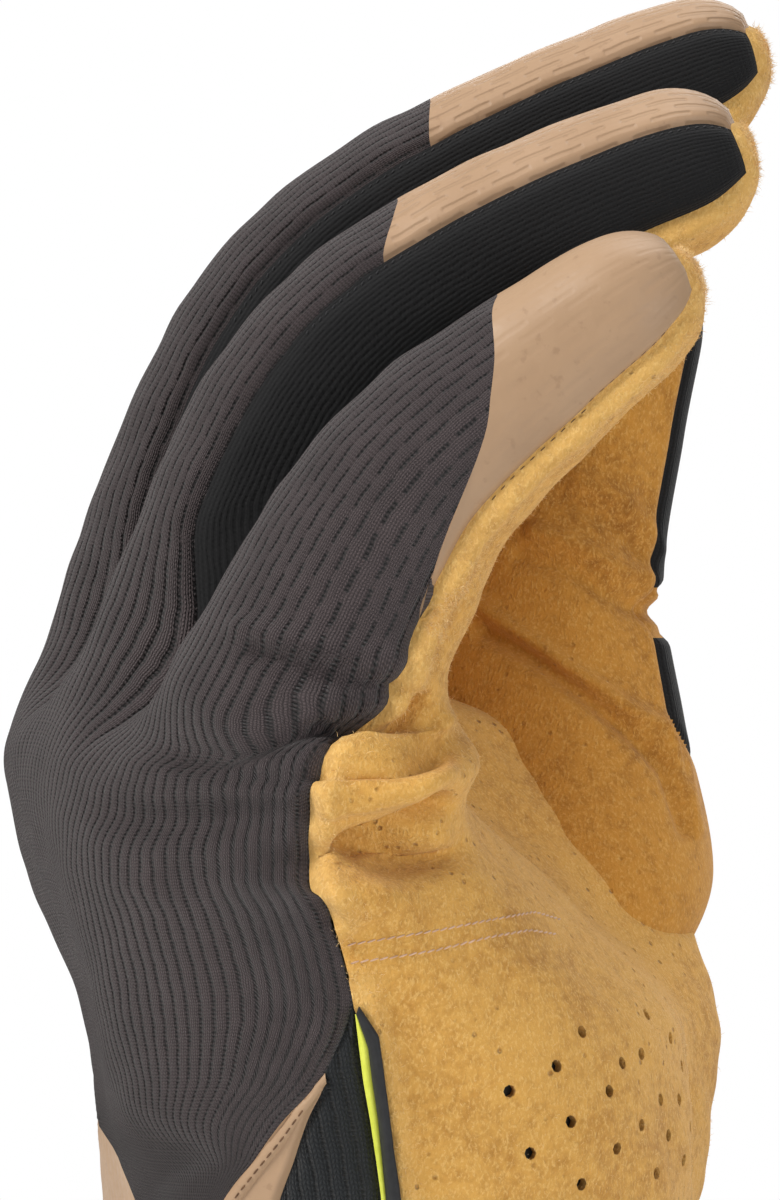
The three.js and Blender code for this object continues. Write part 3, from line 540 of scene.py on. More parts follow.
@dataclass
class DenseSkin:
    """One welded mesh of the whole hand, from which every panel is cut."""

    skin: HandSkin
    back_columns: tuple[int, ...] = (64, 34, 34, 34)
    palm_columns: tuple[int, ...] = (48, 30, 30, 40)
    strip_columns: int = 16
    gusset_columns: int = 16
    arm_columns: tuple[int, int] = (26, 36)
    stage_rows: tuple[int, int, int] = (60, 40, 10)
    span_rows: tuple[int, ...] = (16, 30, 12, 52, 22)
    cuff_rows: int = 26
    back_widths: tuple[float, ...] = (34.0, 24.0, 24.0, 30.0)
    palm_cloth: float = 30.0
    strip_cloth: float = 14.0
    step_cloth: float = 18.0
    slack: float = 1.05
    weld_steps: float = 400.0
    weld_shift: float = 0.137
    smooth: float = 0.6
    swell: float = -0.61
    grids: list = field(default_factory=list)
    points: Array = None
    faces: list = field(default_factory=list)
    normals: Array = None
    panels: list = field(default_factory=list)
    seam_gap: Array = None

    def gap_to(self, places: list[Array]) -> Array:
        """Distance of each point from the nearest of some places.

        Args:
            places: the places, each x, y, z.

        Returns:
            One distance for each point of the skin.
        """
        best = np.full(len(self.points), FAR)
        for place in places:
            best = np.minimum(best, np.linalg.norm(self.points - place, axis=1))
        return best

    def tip_gap(self) -> Array:
        """Distance of each point from the nearest place where a panel runs out to a point.

        Returns:
            One distance for each point of the skin.
        """
        ends = [("back_ulnar", TONGUE_TIP)]
        ends += [(seam, top) for seam in ("back_ulnar", "back_radial") for top in (TRIM_TOP, GUSSET_TOP)]
        tips = []
        for seam, height in ends:
            at = np.array([[height]])
            tips.append(self.skin.point(self.skin.seam(seam, at), at)[0, 0])
        return self.gap_to(tips)

    def end_gap(self) -> Array:
        """Distance of each point from the nearest finger end."""
        ends = [finger.point(np.array([finger.length]), np.array([0.0]))[0] for finger in FINGERS]
        return self.gap_to(ends)

    def calm(self) -> Array:
        """Points that no smoothing moves: the cuff's end and the panels' pointed ends."""
        return (self.points[:, 2] < 0.3) | (self.tip_gap() < 2.0)

    def heights(self) -> Array:
        """Height shares of the rows between the cuff and the finger roots.

        Returns:
            Rows x 1 shares, rising.
        """
        stops = (CUFF_TOP, TONGUE_TIP, TRIM_TOP, GUSSET_TOP, ROOT_ROWS, 1.0)
        spans = zip(stops[:-1], stops[1:], self.span_rows)
        parts = [np.linspace(low, high, count, endpoint=False) for low, high, count in spans]
        return np.concatenate([*parts, [1.0]])[:, None]

    def add(self, name: str, grid: Array, u: Array, v: Array, flip: bool = False) -> None:
        """Keeps a grid of points with its cloth coordinates in millimetres.

        Args:
            name: the panel it belongs to.
            grid: rows x columns x 3.
            u: across the cloth, rows x columns.
            v: along the cloth, rows x columns.
            flip: turns its faces over.
        """
        u, v = np.broadcast_to(u, grid.shape[:2]), np.broadcast_to(v, grid.shape[:2])
        self.grids.append((name, grid, np.stack([u, v], axis=-1), flip))

    def stage_shares(self, stage: Stage) -> Array:
        """Row shares of a stage, closer together at the rounded end.

        Args:
            stage: stretch of a finger.

        Returns:
            Rows x 1 shares from 0 to 1.
        """
        share = np.linspace(0, 1, self.stage_rows[stage.value] + 1)
        if stage is Stage.END:
            share = 1 - (1 - share) ** 2
        return share[:, None]

    def add_fingers(self) -> None:
        """Knit, caps and suede sides of the fingers, and the hand below them."""

        def add_side(side: Side, panel: str, grid: Array, u: Array, v: Array) -> None:
            """Keeps a grid as its back panel, or as a part of the palm."""
            if side is Side.BACK:
                self.add(panel, grid, offset + u * self.back_widths[index], v)
            else:
                self.add("palm_panel", grid, u * self.palm_cloth, v, True)

        skin = self.skin
        offset = 0.0
        for index, finger in enumerate(FINGERS):
            back_u = np.linspace(0, 1, self.back_columns[index] + 1)[None]
            palm_u = np.linspace(0, 1, self.palm_columns[index] + 1)[None]
            for stage in Stage:
                share = self.stage_shares(stage)
                panel = ("back_panel", f"cap_{finger.name}", "palm_panel")[stage.value]
                for side, u in ((Side.BACK, back_u), (Side.PALM, palm_u)):
                    grid = skin.joint_point(index, side, u, stage, share)
                    turn, row = np.broadcast_arrays(skin.turn_across(index, side, u), share)
                    v = skin.along(index, turn, stage, row)
                    add_side(side, panel, grid, u, v)
            for side, u in ((Side.BACK, back_u), (Side.PALM, palm_u)):
                height = self.heights()
                if side is Side.BACK:
                    height = height[height[:, 0] >= TONGUE_TIP - SAME]
                grid = skin.body_point(index, side, u, height)
                turn = skin.turn_across(index, side, u)
                start = skin.along(index, turn, Stage.ROOT, np.zeros_like(turn))
                v = start + (height - 1) * skin.palm_height * self.slack
                add_side(side, "back_panel", grid, u, v)
            offset += self.back_widths[index]

    def add_strips(self) -> None:
        """Black strips between the fingers."""
        skin = self.skin
        across = np.linspace(0, 1, self.strip_columns + 1)[None]
        edge = mix(BACK_EDGE, PALM_EDGE, across)
        for index in range(LAST):
            name = f"fourchette_{FINGERS[index + 1].name}_{FINGERS[index].name}"
            sides = ((index, -edge, False), (index + 1, edge, True))
            for which, (own, turn, flip) in enumerate(sides):
                other, other_turn, _ = sides[1 - which]
                for stage in Stage:
                    share = self.stage_shares(stage)
                    point = skin.finger_point(own, turn, stage, share)
                    facing = skin.finger_point(other, other_turn, stage, share)
                    pull = 0.5 * (1 - skin.parted(stage, share))
                    rows, turns = np.broadcast_arrays(share, turn)
                    v = skin.along(own, turns, stage, rows)
                    panel = "palm_panel" if stage is Stage.END else name
                    self.add(panel, mix(point, facing, pull[..., None]), across * self.strip_cloth, v, flip)

    def add_wrist(self) -> None:
        """Tan wrist panel, black gussets and cuff."""
        skin = self.skin
        tall, step = skin.palm_height, self.step_cloth
        height = self.heights()
        arm = height[height[:, 0] <= TRIM_TOP + SAME]
        for first, last, columns in (
            ("wrist_ulnar", "back_ulnar", self.arm_columns[0]),
            ("back_radial", "wrist_radial", self.arm_columns[1]),
        ):
            u = np.linspace(0, 1, columns + 1)[None]
            around = mix(skin.seam(first, arm), skin.seam(last, arm), u)
            self.add("wrist_panel", skin.point(around, arm), around * step, arm * tall)
        low = height[height[:, 0] <= GUSSET_TOP + SAME]
        u = np.linspace(0, 1, self.gusset_columns + 1)[None]
        for name, palm, wrist, back, flip in (
            ("gusset_ulnar", "palm_ulnar", "wrist_ulnar", "back_ulnar", False),
            ("gusset_radial", "palm_radial", "wrist_radial", "back_radial", True),
        ):
            edge = np.where(low > TRIM_TOP + SAME, skin.seam(back, low), skin.seam(wrist, low))
            around = mix(skin.seam(palm, low), edge, u)
            self.add(name, skin.point(around, low), around * step, low * tall, flip)
        cuff = np.linspace(0, CUFF_TOP, self.cuff_rows + 1)[:, None]
        ring = self.cuff_ring()[None]
        self.add("wrist_cuff", skin.point(ring + 0 * cuff, cuff), ring * step, cuff * tall)

    def cuff_ring(self) -> Array:
        """Places around the wrist where the pieces above the cuff have their columns.

        Returns:
            The places, in steps of the control lines.
        """
        low = {name: SEAM_ROWS[0][1 + i] for i, name in enumerate(SEAM_NAMES)}

        def stretch(first: float, last: float, count: int) -> Array:
            """Even places without the last one."""
            return mix(first, last, np.linspace(0, 1, count + 1)[:-1])

        parts = [
            stretch(low["palm_ulnar"], low["wrist_ulnar"], self.gusset_columns),
            stretch(low["wrist_ulnar"], low["back_ulnar"], self.arm_columns[0]),
            stretch(low["back_radial"], low["wrist_radial"], self.arm_columns[1]),
            stretch(low["wrist_radial"], low["palm_radial"], self.gusset_columns),
        ]
        between = [AROUND - 0.5 - index for index in range(LAST, 0, -1)]
        stops = [low["palm_radial"], *between, AROUND + low["palm_ulnar"]]
        for i, columns in enumerate(reversed(self.palm_columns)):
            parts.append(stretch(stops[i], stops[i + 1], columns))
        return np.concatenate([*parts, [AROUND + low["palm_ulnar"]]])

    def weld(self) -> None:
        """Joins all grids into one mesh and keeps each face's panel and cloth coordinates."""
        places = np.concatenate([grid.reshape(-1, 3) for _, grid, _, _ in self.grids])
        cells = np.round(places * self.weld_steps + self.weld_shift).astype(np.int64)
        _, first, inverse = np.unique(cells, axis=0, return_index=True, return_inverse=True)
        inverse = inverse.reshape(-1)
        self.points = places[first]
        start = 0
        for name, grid, cloth, flip in self.grids:
            rows, columns = grid.shape[:2]
            index = inverse[start : start + rows * columns].reshape(rows, columns)
            start += rows * columns
            quads = np.stack([index[:-1, :-1], index[:-1, 1:], index[1:, 1:], index[1:, :-1]], axis=-1)
            cloths = np.stack([cloth[:-1, :-1], cloth[:-1, 1:], cloth[1:, 1:], cloth[1:, :-1]], axis=2)
            quads, cloths = quads.reshape(-1, 4), cloths.reshape(-1, 4, 2)
            if not flip:
                quads, cloths = quads[:, ::-1], cloths[:, ::-1]
            for quad, uv in zip(quads.tolist(), cloths.tolist()):
                keep = [i for i in range(4) if quad[i] not in quad[:i]]
                if len(keep) >= 3:
                    self.faces.append([quad[i] for i in keep])
                    self.panels.append((name, [uv[i] for i in keep]))

    def blocks(self) -> list[Array]:
        """Tables of the three-sided and of the four-sided faces."""
        tables = [np.array([face for face in self.faces if len(face) == size]) for size in (3, 4)]
        return [table for table in tables if len(table)]

    def edges(self) -> Array:
        """Every edge of the welded mesh once.

        Returns:
            Pairs of point numbers.
        """
        pairs = [np.stack([block, np.roll(block, -1, axis=1)], axis=-1) for block in self.blocks()]
        joined = np.concatenate([pair.reshape(-1, 2) for pair in pairs])
        return np.unique(np.sort(joined, axis=1), axis=0)

    def relax(self, rounds: int, keep: Array) -> None:
        """Takes the hard creases out without shrinking the shape.

        Args:
            rounds: pairs of smoothing and swelling steps.
            keep: points that stay where they are.
        """
        pairs = self.edges()
        count = len(self.points)
        degree = np.bincount(pairs.ravel(), minlength=count)[:, None]
        for step in range(2 * rounds):
            total = np.zeros_like(self.points)
            for axis in range(3):
                total[:, axis] = np.bincount(
                    pairs[:, 0], self.points[pairs[:, 1], axis], minlength=count
                ) + np.bincount(pairs[:, 1], self.points[pairs[:, 0], axis], minlength=count)
            shift = (total / np.maximum(degree, 1) - self.points) * (self.swell if step % 2 else self.smooth)
            shift[keep] = 0
            self.points = self.points + shift

    def find_normals(self) -> None:
        """Outward normal of each point from the faces around it."""
        normals = np.zeros_like(self.points)
        for block in self.blocks():
            a, b, c = (self.points[block[:, i]] for i in (0, 1, 2))
            cross = np.cross(b - a, c - a)
            for corner in range(block.shape[1]):
                for axis in range(3):
                    normals[:, axis] += np.bincount(block[:, corner], cross[:, axis], minlength=len(normals))
        length = np.linalg.norm(normals, axis=1, keepdims=True)
        self.normals = normals / np.where(length == 0, 1, length)


# What the camera sees, so that folds and stitches lie where the picture has them


@dataclass(frozen=True)
class Eye:
    """The camera's place in millimetres and the picture's scale."""

    distance: float = 1035.0
    height: float = 120.0
    focal: float = 8600.0
    picture: tuple[int, int] = (780, 1200)

    def seen(self, points: Array) -> Array:
        """Picture points of places in the frame.

        Args:
            points: the places, with a last axis of x, y, z.

        Returns:
            Picture points with a last axis of x, y.
        """
        scale = self.focal / (self.distance - points[..., 0])
        x = self.picture[0] / 2 + scale * points[..., 1]
        y = self.picture[1] / 2 - scale * (points[..., 2] - self.height)
        return np.stack([x, y], axis=-1)

    def ray(self, x: float, y: float) -> tuple[Vector, Vector]:
        """Sight line through a picture point.

        Args:
            x: picture point from the left.
            y: picture point from the top.

        Returns:
            Its start and direction.
        """
        start = Vector((self.distance, 0.0, self.height))
        aim = Vector((-self.focal, x - self.picture[0] / 2, self.picture[1] / 2 - y))
        return start, aim.normalized()


EYE = Eye()


def line_distance(places: Array, line: tuple) -> Array:
    """Distance of flat places from a line of straight stretches.

    Args:
        places: flat places, one a row.
        line: the line's points.

    Returns:
        One distance for each place.
    """
    best = np.full(len(places), FAR)
    for (ax, ay), (bx, by) in zip(line[:-1], line[1:]):
        run = np.array([bx - ax, by - ay], float)
        to = places - np.array([ax, ay])
        share = np.clip((to @ run) / (run @ run), 0, 1)
        best = np.minimum(best, np.linalg.norm(to - share[:, None] * run, axis=1))
    return best


@dataclass(frozen=True)
class Crease:
    """A fold line in picture points: depth in millimetres, - pressed in and + raised."""

    line: tuple
    width: float
    depth: float
    near: float = 8.0
    far: float = 60.0
    seen_from: float = 0.02
    facing: float = 2.2

    def press(self, seen: Array, points: Array, normals: Array) -> Array:
        """How far each point moves along its normal.

        Args:
            seen: picture points of the skin's points.
            points: the skin's points.
            normals: their outward normals.

        Returns:
            Millimetres, + outwards.
        """
        inside = (points[:, 0] > self.near) & (points[:, 0] < self.far) & (normals[:, 0] > self.seen_from)
        moved = np.zeros(len(points))
        gap = line_distance(seen[inside], self.line)
        facing = np.clip(normals[inside, 0] * self.facing, 0, 1)
        moved[inside] = self.depth * np.exp(-((gap / self.width) ** 2)) * facing
        return moved


CREASES = (
    Crease(((255, 652), (300, 667), (350, 682), (408, 694)), 9, -1.6),
    Crease(((240, 628), (300, 643), (352, 655), (402, 662)), 12, 1.1),
    Crease(((180, 764), (240, 777), (285, 782), (320, 776)), 9, -1.2),
    Crease(((180, 738), (240, 748), (306, 748)), 12, 0.4),
    Crease(((176, 880), (220, 890), (270, 890), (306, 876)), 20, -0.9),
    Crease(((318, 729), (352, 737), (386, 734), (408, 720), (424, 700)), 6, -2.6),
    Crease(((326, 742), (356, 750), (400, 746), (440, 728), (462, 700), (466, 660)), 9, 1.3),
    Crease(((326, 768), (362, 776), (402, 772), (438, 756)), 12, -1.8),
    Crease(((330, 806), (372, 802), (414, 788), (446, 772)), 9, 1.4),
    Crease(((340, 846), (384, 833), (420, 815), (442, 804)), 8, -4.4),
    Crease(((318, 862), (350, 868), (396, 850), (440, 836)), 11, 1.2),
)


@dataclass
class Relief:
    """Sewn seams, folds and soft unevenness, pressed into the dense skin."""

    dense: DenseSkin
    depth: float = 0.8
    suede_groove: float = 0.75
    cap_groove: float = 0.5
    knit_groove: float = 0.85
    suede_roll: tuple = (0.95, 2.1, 1.3)
    knit_roll: tuple = (0.25, 2.4, 1.4)
    flat_ends: tuple = (5.0, 17.0)
    calm_tips: tuple = (0.8, 4.0)

    def kinds(self) -> tuple[Array, Array]:
        """Panels at each point.

        Returns:
            A point x kind table of knit, cap, suede and black, and whether a sewn seam runs
            through the point. A film's edge on the knit is no sewn seam.
        """
        order = ("knit", "cap", "suede", "black")
        table = np.zeros((len(self.dense.points), len(order)), bool)
        panel_of: dict[int, set] = {}
        for face, (name, _) in zip(self.dense.faces, self.dense.panels):
            kind = order.index(kind_of(name))
            for corner in face:
                table[corner, kind] = True
                panel_of.setdefault(corner, set()).add(name)
        sewn = np.zeros(len(table), bool)
        filmed = {"back_panel", *(f"cap_{finger.name}" for finger in FINGERS)}
        for corner, names in panel_of.items():
            film = names <= filmed or names == {"back_panel", "wrist_panel"}
            sewn[corner] = len(names) > 1 and not film
        return table, sewn

    def press(self) -> None:
        """Moves the skin's points along their normals."""
        dense = self.dense
        table, sewn = self.kinds()
        tree = KDTree(int(sewn.sum()))
        for number, index in enumerate(np.flatnonzero(sewn)):
            tree.insert(dense.points[index], number)
        tree.balance()
        gap = np.array([tree.find(point)[2] for point in dense.points.tolist()])
        dense.seam_gap = gap
        knit, cap, suede, black = table.T
        groove = np.where(suede, self.suede_groove, np.where(cap, self.cap_groove, self.knit_groove))
        moved = -self.depth * np.exp(-((gap / groove) ** 2))
        lift, at, wide = self.suede_roll
        lift = lift * ease(*self.flat_ends, dense.end_gap())
        moved += np.where(suede & ~knit & ~black, lift * np.exp(-(((gap - at) / wide) ** 2)), 0)
        lift, at, wide = self.knit_roll
        moved += np.where(knit & ~suede & ~black, lift * np.exp(-(((gap - at) / wide) ** 2)), 0)
        seen = EYE.seen(dense.points)
        for crease in CREASES:
            moved += crease.press(seen, dense.points, dense.normals)
        moved += self.unevenness(suede, cap)
        moved *= ease(*self.calm_tips, dense.tip_gap())
        dense.points = dense.points + dense.normals * moved[:, None]

    def unevenness(self, suede: Array, cap: Array) -> Array:
        """Low soft waves, more on the suede than on the caps.

        Args:
            suede: whether each point is on suede.
            cap: whether each point is on film.

        Returns:
            Millimetres, + outwards.
        """
        x, y, z = self.dense.points.T
        wave = (
            np.sin(x * 0.31 + 1.7 * np.sin(z * 0.11)) * np.sin(z * 0.24 + 1.3 * np.sin(y * 0.17))
            + 0.6 * np.sin(y * 0.45 + z * 0.38 + 2.0 * np.sin(x * 0.2))
            + 0.4 * np.sin(z * 0.83 - x * 0.57 + 1.1 * np.sin(y * 0.5))
        )
        return wave * np.where(suede, 0.22, np.where(cap, 0.1, 0.13))


def kind_of(panel: str) -> str:
    """Which cloth or leather a panel is made of.

    Args:
        panel: the panel's name.

    Returns:
        knit, cap, suede or black.
    """
    if panel == "back_panel":
        return "knit"
    if panel.startswith("cap_") or panel == "wrist_panel":
        return "cap"
    if panel == "palm_panel":
        return "suede"
    return "black"


# Finishes


class NodeSheet:
    """Short calls for building a shader or group of nodes."""

    def __init__(self, tree: NodeTree) -> None:
        """Keeps the tree that the nodes go into."""
        self.tree = tree

    def add(self, kind: str, **settings: object) -> Node:
        """A new node.

        Args:
            kind: its type.
            settings: its properties.

        Returns:
            The node.
        """
        node = self.tree.nodes.new(kind)
        for name, value in settings.items():
            setattr(node, name, value)
        return node

    def put(self, socket: NodeSocket, value: object) -> None:
        """Links a socket, or sets its plain value."""
        if isinstance(value, NodeSocket):
            self.tree.links.new(value, socket)
        else:
            socket.default_value = value

    def math(self, operation: str, *values: object, clamp: bool = False) -> NodeSocket:
        """One sum on floats.

        Args:
            operation: the kind of sum.
            values: sockets or plain numbers.
            clamp: keeps the result from 0 to 1.

        Returns:
            The result.
        """
        node = self.add("ShaderNodeMath", operation=operation, use_clamp=clamp)
        for socket, value in zip(node.inputs, values):
            self.put(socket, value)
        return node.outputs[0]

    def times(self, first: object, second: object, clamp: bool = False) -> NodeSocket:
        """One value times another."""
        return self.math("MULTIPLY", first, second, clamp=clamp)

    def scaled(self, vector: NodeSocket, scale: float) -> NodeSocket:
        """A vector times a plain number.

        Args:
            vector: the vector.
            scale: the number.

        Returns:
            The result.
        """
        node = self.add("ShaderNodeVectorMath", operation="SCALE")
        self.put(node.inputs[0], vector)
        self.put(node.inputs["Scale"], scale)
        return node.outputs[0]

    def noise(self, vector: object, scale: float, detail: float = 3.0, roughness: float = 0.55) -> NodeSocket:
        """Cloud noise.

        Args:
            vector: where it is read.
            scale: clouds in one unit.
            detail: finer layers on it.
            roughness: strength of the finer layers.

        Returns:
            A value from 0 to 1.
        """
        node = self.add("ShaderNodeTexNoise")
        self.put(node.inputs["Vector"], vector)
        self.put(node.inputs["Scale"], scale)
        self.put(node.inputs["Detail"], detail)
        self.put(node.inputs["Roughness"], roughness)
        return node.outputs["Fac"]

    def cells(self, vector: object, scale: float) -> NodeSocket:
        """Distance to scattered points.

        Args:
            vector: where it is read.
            scale: points in one unit.

        Returns:
            The distance to the nearest one.
        """
        node = self.add("ShaderNodeTexVoronoi")
        self.put(node.inputs["Vector"], vector)
        self.put(node.inputs["Scale"], scale)
        return node.outputs["Distance"]

    def step(
        self, value: object, low: float, high: float, first: float = 0.0, last: float = 1.0
    ) -> NodeSocket:
        """Smooth step of a value.

        Args:
            value: what is read.
            low: where the step starts.
            high: where it ends.
            first: result before it.
            last: result after it.

        Returns:
            The result.
        """
        node = self.add("ShaderNodeMapRange", interpolation_type="SMOOTHSTEP", clamp=True)
        labels = ("Value", "From Min", "From Max", "To Min", "To Max")
        for name, part in zip(labels, (value, low, high, first, last)):
            self.put(node.inputs[name], part)
        return node.outputs["Result"]

    def tint(self, share: object, first: object, last: object) -> NodeSocket:
        """Blend of two colours.

        Args:
            share: how much of the last one.
            first: one colour.
            last: the other colour.

        Returns:
            The colour.
        """
        node = self.add("ShaderNodeMix", data_type="RGBA")
        self.put(node.inputs[0], share)
        self.put(node.inputs[6], first)
        self.put(node.inputs[7], last)
        return node.outputs[2]


def colour(red: int, green: int, blue: int) -> tuple[float, float, float, float]:
    """Linear colour of a screen colour, each channel from 0 to 255."""

    def linear(value: float) -> float:
        """One channel without its screen curve."""
        return value / 12.92 if value <= 0.04045 else ((value + 0.055) / 1.055) ** 2.4

    return (linear(red / 255), linear(green / 255), linear(blue / 255), 1.0)


def new_group(name: str, inputs: dict, outputs: tuple[str, ...]) -> tuple[NodeSheet, Node, Node]:
    """An empty node group with float sockets and one vector input.

    Args:
        name: the group's name.
        inputs: float inputs with their first values.
        outputs: names of the float outputs.

    Returns:
        The sheet to build on, the input node and the output node.
    """
    tree = bpy.data.node_groups.new(name, "ShaderNodeTree")
    tree.interface.new_socket(name="Cloth", in_out="INPUT", socket_type="NodeSocketVector")
    for label, value in inputs.items():
        socket = tree.interface.new_socket(name=label, in_out="INPUT", socket_type="NodeSocketFloat")
        socket.default_value = value
    for label in outputs:
        tree.interface.new_socket(name=label, in_out="OUTPUT", socket_type="NodeSocketFloat")
    sheet = NodeSheet(tree)
    return sheet, sheet.add("NodeGroupInput"), sheet.add("NodeGroupOutput")


HALF_TURN = 3.1416
WHOLE_TURN = 6.2832


def knit_group() -> NodeTree:
    """Ribs, dark dashes in brick order and fine loops of a warp knit; coordinates in millimetres.

    Returns:
        The group, with its height, its dashes and its loops.
    """
    sizes = {"Rib": 1.36, "Dash": 4.4, "Loop": 0.42, "Ladder": 0.42, "Soft": 0.0}
    sheet, given, out = new_group("ribbed knit", sizes, ("Height", "Groove", "Loops"))
    rib, dash, loop = given.outputs["Rib"], given.outputs["Dash"], given.outputs["Loop"]
    wobble = sheet.noise(sheet.scaled(given.outputs["Cloth"], 0.35), 1.0, 2.0)
    split = sheet.add("ShaderNodeSeparateXYZ")
    sheet.put(split.inputs[0], given.outputs["Cloth"])
    across = sheet.math("MULTIPLY_ADD", sheet.math("SUBTRACT", wobble, 0.5), 0.45, split.outputs[0])
    along = split.outputs[1]
    from_groove = sheet.math("PINGPONG", across, sheet.times(rib, 0.5))
    column = sheet.math("FLOOR", sheet.math("ADD", sheet.math("DIVIDE", across, rib), 0.5))
    chance = sheet.add("ShaderNodeTexWhiteNoise", noise_dimensions="1D")
    sheet.put(chance.inputs["W"], column)
    brick = sheet.times(column, 0.5)
    shift = sheet.times(sheet.math("MULTIPLY_ADD", chance.outputs["Value"], 0.3, brick), dash)
    from_dash = sheet.math("PINGPONG", sheet.math("ADD", along, shift), sheet.times(dash, 0.5))
    in_dash = sheet.step(sheet.math("DIVIDE", from_dash, dash), 0.32, 0.39, 1.0, 0.0)
    open_run = sheet.step(along, -16.0, 0.0, 0.75, 0.12)
    depth = sheet.math("MULTIPLY_ADD", sheet.math("SUBTRACT", 1.0, open_run), in_dash, open_run)
    wide = sheet.math("MULTIPLY_ADD", open_run, 0.14, 0.22)
    wide = sheet.math("ADD", wide, given.outputs["Soft"])
    line = sheet.step(from_groove, 0.05, wide, 1.0, 0.0)
    waves = sheet.math("SINE", sheet.times(along, 10.5))
    ladder = sheet.math("MULTIPLY_ADD", waves, given.outputs["Ladder"], 0.66)
    groove = sheet.times(sheet.times(line, depth), ladder, clamp=True)
    half_loop = sheet.times(loop, 0.5)
    wale = sheet.math("DIVIDE", sheet.math("PINGPONG", across, half_loop), half_loop)
    chevron = sheet.math("MULTIPLY_ADD", wale, 0.45, sheet.math("DIVIDE", along, loop))
    wave = sheet.math("COSINE", sheet.times(chevron, WHOLE_TURN))
    bead = sheet.math("MULTIPLY_ADD", wave, 0.5, 0.5)
    strand = sheet.math("SINE", sheet.times(wale, HALF_TURN))
    loops = sheet.times(sheet.math("MULTIPLY_ADD", bead, 0.7, 0.3), strand)
    crown = sheet.math("SQRT", sheet.math("DIVIDE", from_groove, rib))
    height = sheet.math("MULTIPLY_ADD", loops, 0.3, sheet.times(crown, 0.8))
    height = sheet.math("SUBTRACT", height, sheet.times(groove, 0.9))
    sheet.put(out.inputs["Height"], height)
    sheet.put(out.inputs["Groove"], groove)
    sheet.put(out.inputs["Loops"], loops)
    return sheet.tree


def suede_group() -> NodeTree:
    """Short nap, mottles and small pits, the pits darkened as painted shade; coordinates in metres.

    Returns:
        The group, with its height, its mottles with the pits' painted shade, and its fibres.
    """
    sheet, given, out = new_group("suede nap", {"Pits": 1.0}, ("Height", "Mottle", "Fibre"))
    place = given.outputs["Cloth"]
    large = sheet.noise(place, 55.0, 3.0, 0.6)
    middle = sheet.noise(place, 620.0, 4.0, 0.65)
    stretched = sheet.add("ShaderNodeMapping")
    sheet.put(stretched.inputs["Scale"], (3600.0, 2600.0, 1700.0))
    sheet.put(stretched.inputs["Rotation"], (0.6, 0.35, 0.2))
    sheet.put(stretched.inputs["Vector"], place)
    fibre = sheet.noise(stretched.outputs[0], 1.0, 3.0, 0.7)
    pit = sheet.step(sheet.cells(place, 480.0), 0.05, 0.19, 1.0, 0.0)
    pit = sheet.times(pit, sheet.step(large, 0.45, 0.6))
    pit = sheet.times(pit, given.outputs["Pits"])
    mottle_and_pit_shade = sheet.math("MULTIPLY_ADD", middle, 0.55, sheet.times(large, 0.45))
    # Painted shade: the pits are darkened in colour as well as pressed in.
    mottle_and_pit_shade = sheet.math("SUBTRACT", mottle_and_pit_shade, sheet.times(pit, 0.25))
    height = sheet.math("MULTIPLY_ADD", middle, 0.45, sheet.times(fibre, 0.6))
    height = sheet.math("SUBTRACT", height, sheet.times(pit, 0.7))
    sheet.put(out.inputs["Height"], height)
    sheet.put(out.inputs["Mottle"], mottle_and_pit_shade)
    sheet.put(out.inputs["Fibre"], fibre)
    return sheet.tree


@dataclass(frozen=True)
class Finish:
    """Values that every finish has."""

    name: str
    base: tuple
    light: tuple
    dark: tuple
    roughness: float
    sheen: float = 0.0
    bump: float = 0.3

    def start(self) -> tuple[Material, NodeSheet, Node]:
        """A material with its plain values set.

        Returns:
            The material, its nodes and its shader.
        """
        made = bpy.data.materials.new(self.name)
        made.use_nodes = True
        sheet = NodeSheet(made.node_tree)
        shader = made.node_tree.nodes["Principled BSDF"]
        sheet.put(shader.inputs["Roughness"], self.roughness)
        sheet.put(shader.inputs["Specular IOR Level"], 0.35)
        sheet.put(shader.inputs["Sheen Weight"], self.sheen)
        sheet.put(shader.inputs["Sheen Roughness"], 0.45)
        return made, sheet, shader

    def cloth(self, sheet: NodeSheet) -> NodeSocket:
        """Cloth coordinates in millimetres."""
        uv = sheet.add("ShaderNodeUVMap", uv_map="cloth")
        return sheet.scaled(uv.outputs[0], CLOTH_UNIT)

    def place(self, sheet: NodeSheet) -> NodeSocket:
        """Object coordinates in metres."""
        return sheet.add("ShaderNodeTexCoord").outputs["Object"]

    def dent(self, sheet: NodeSheet, shader: Node, height: NodeSocket) -> None:
        """Feeds a height to the shader's normal.

        Args:
            sheet: the material's nodes.
            shader: the shader.
            height: the height, 1 for the whole bump.
        """
        bump = sheet.add("ShaderNodeBump")
        sheet.put(bump.inputs["Strength"], 1.0)
        sheet.put(bump.inputs["Distance"], self.bump * MM)
        sheet.put(bump.inputs["Height"], height)
        sheet.put(shader.inputs["Normal"], bump.outputs[0])


@dataclass(frozen=True)
class KnitFinish(Finish):
    """Ribbed stretch knit with dark dashes and painted highlights on its loop crowns, or a plain fine knit
    where dashes is off.
    """

    rib: float = 1.36
    dash: float = 4.4
    loop: float = 0.42
    dashes: float = 1.0

    def make(self, group: NodeTree) -> Material:
        """The material.

        Args:
            group: the shared knit group.

        Returns:
            The material.
        """
        made, sheet, shader = self.start()
        knit = sheet.add("ShaderNodeGroup", node_tree=group)
        sheet.put(knit.inputs["Cloth"], self.cloth(sheet))
        sheet.put(knit.inputs["Rib"], self.rib)
        sheet.put(knit.inputs["Dash"], self.dash)
        sheet.put(knit.inputs["Loop"], self.loop)
        cloudy = sheet.noise(self.place(sheet), 160.0, 3.0)
        # Painted highlight: the loop crowns are tinted towards the light colour; the cloudy noise adds random
        # tone.
        highlight_and_tone = sheet.math("MULTIPLY_ADD", knit.outputs["Loops"], 0.75, sheet.times(cloudy, 0.35))
        body = sheet.tint(highlight_and_tone, self.base, self.light)
        groove = sheet.times(knit.outputs["Groove"], self.dashes)
        sheet.put(shader.inputs["Base Color"], sheet.tint(groove, body, self.dark))
        self.dent(sheet, shader, knit.outputs["Height"])
        return made


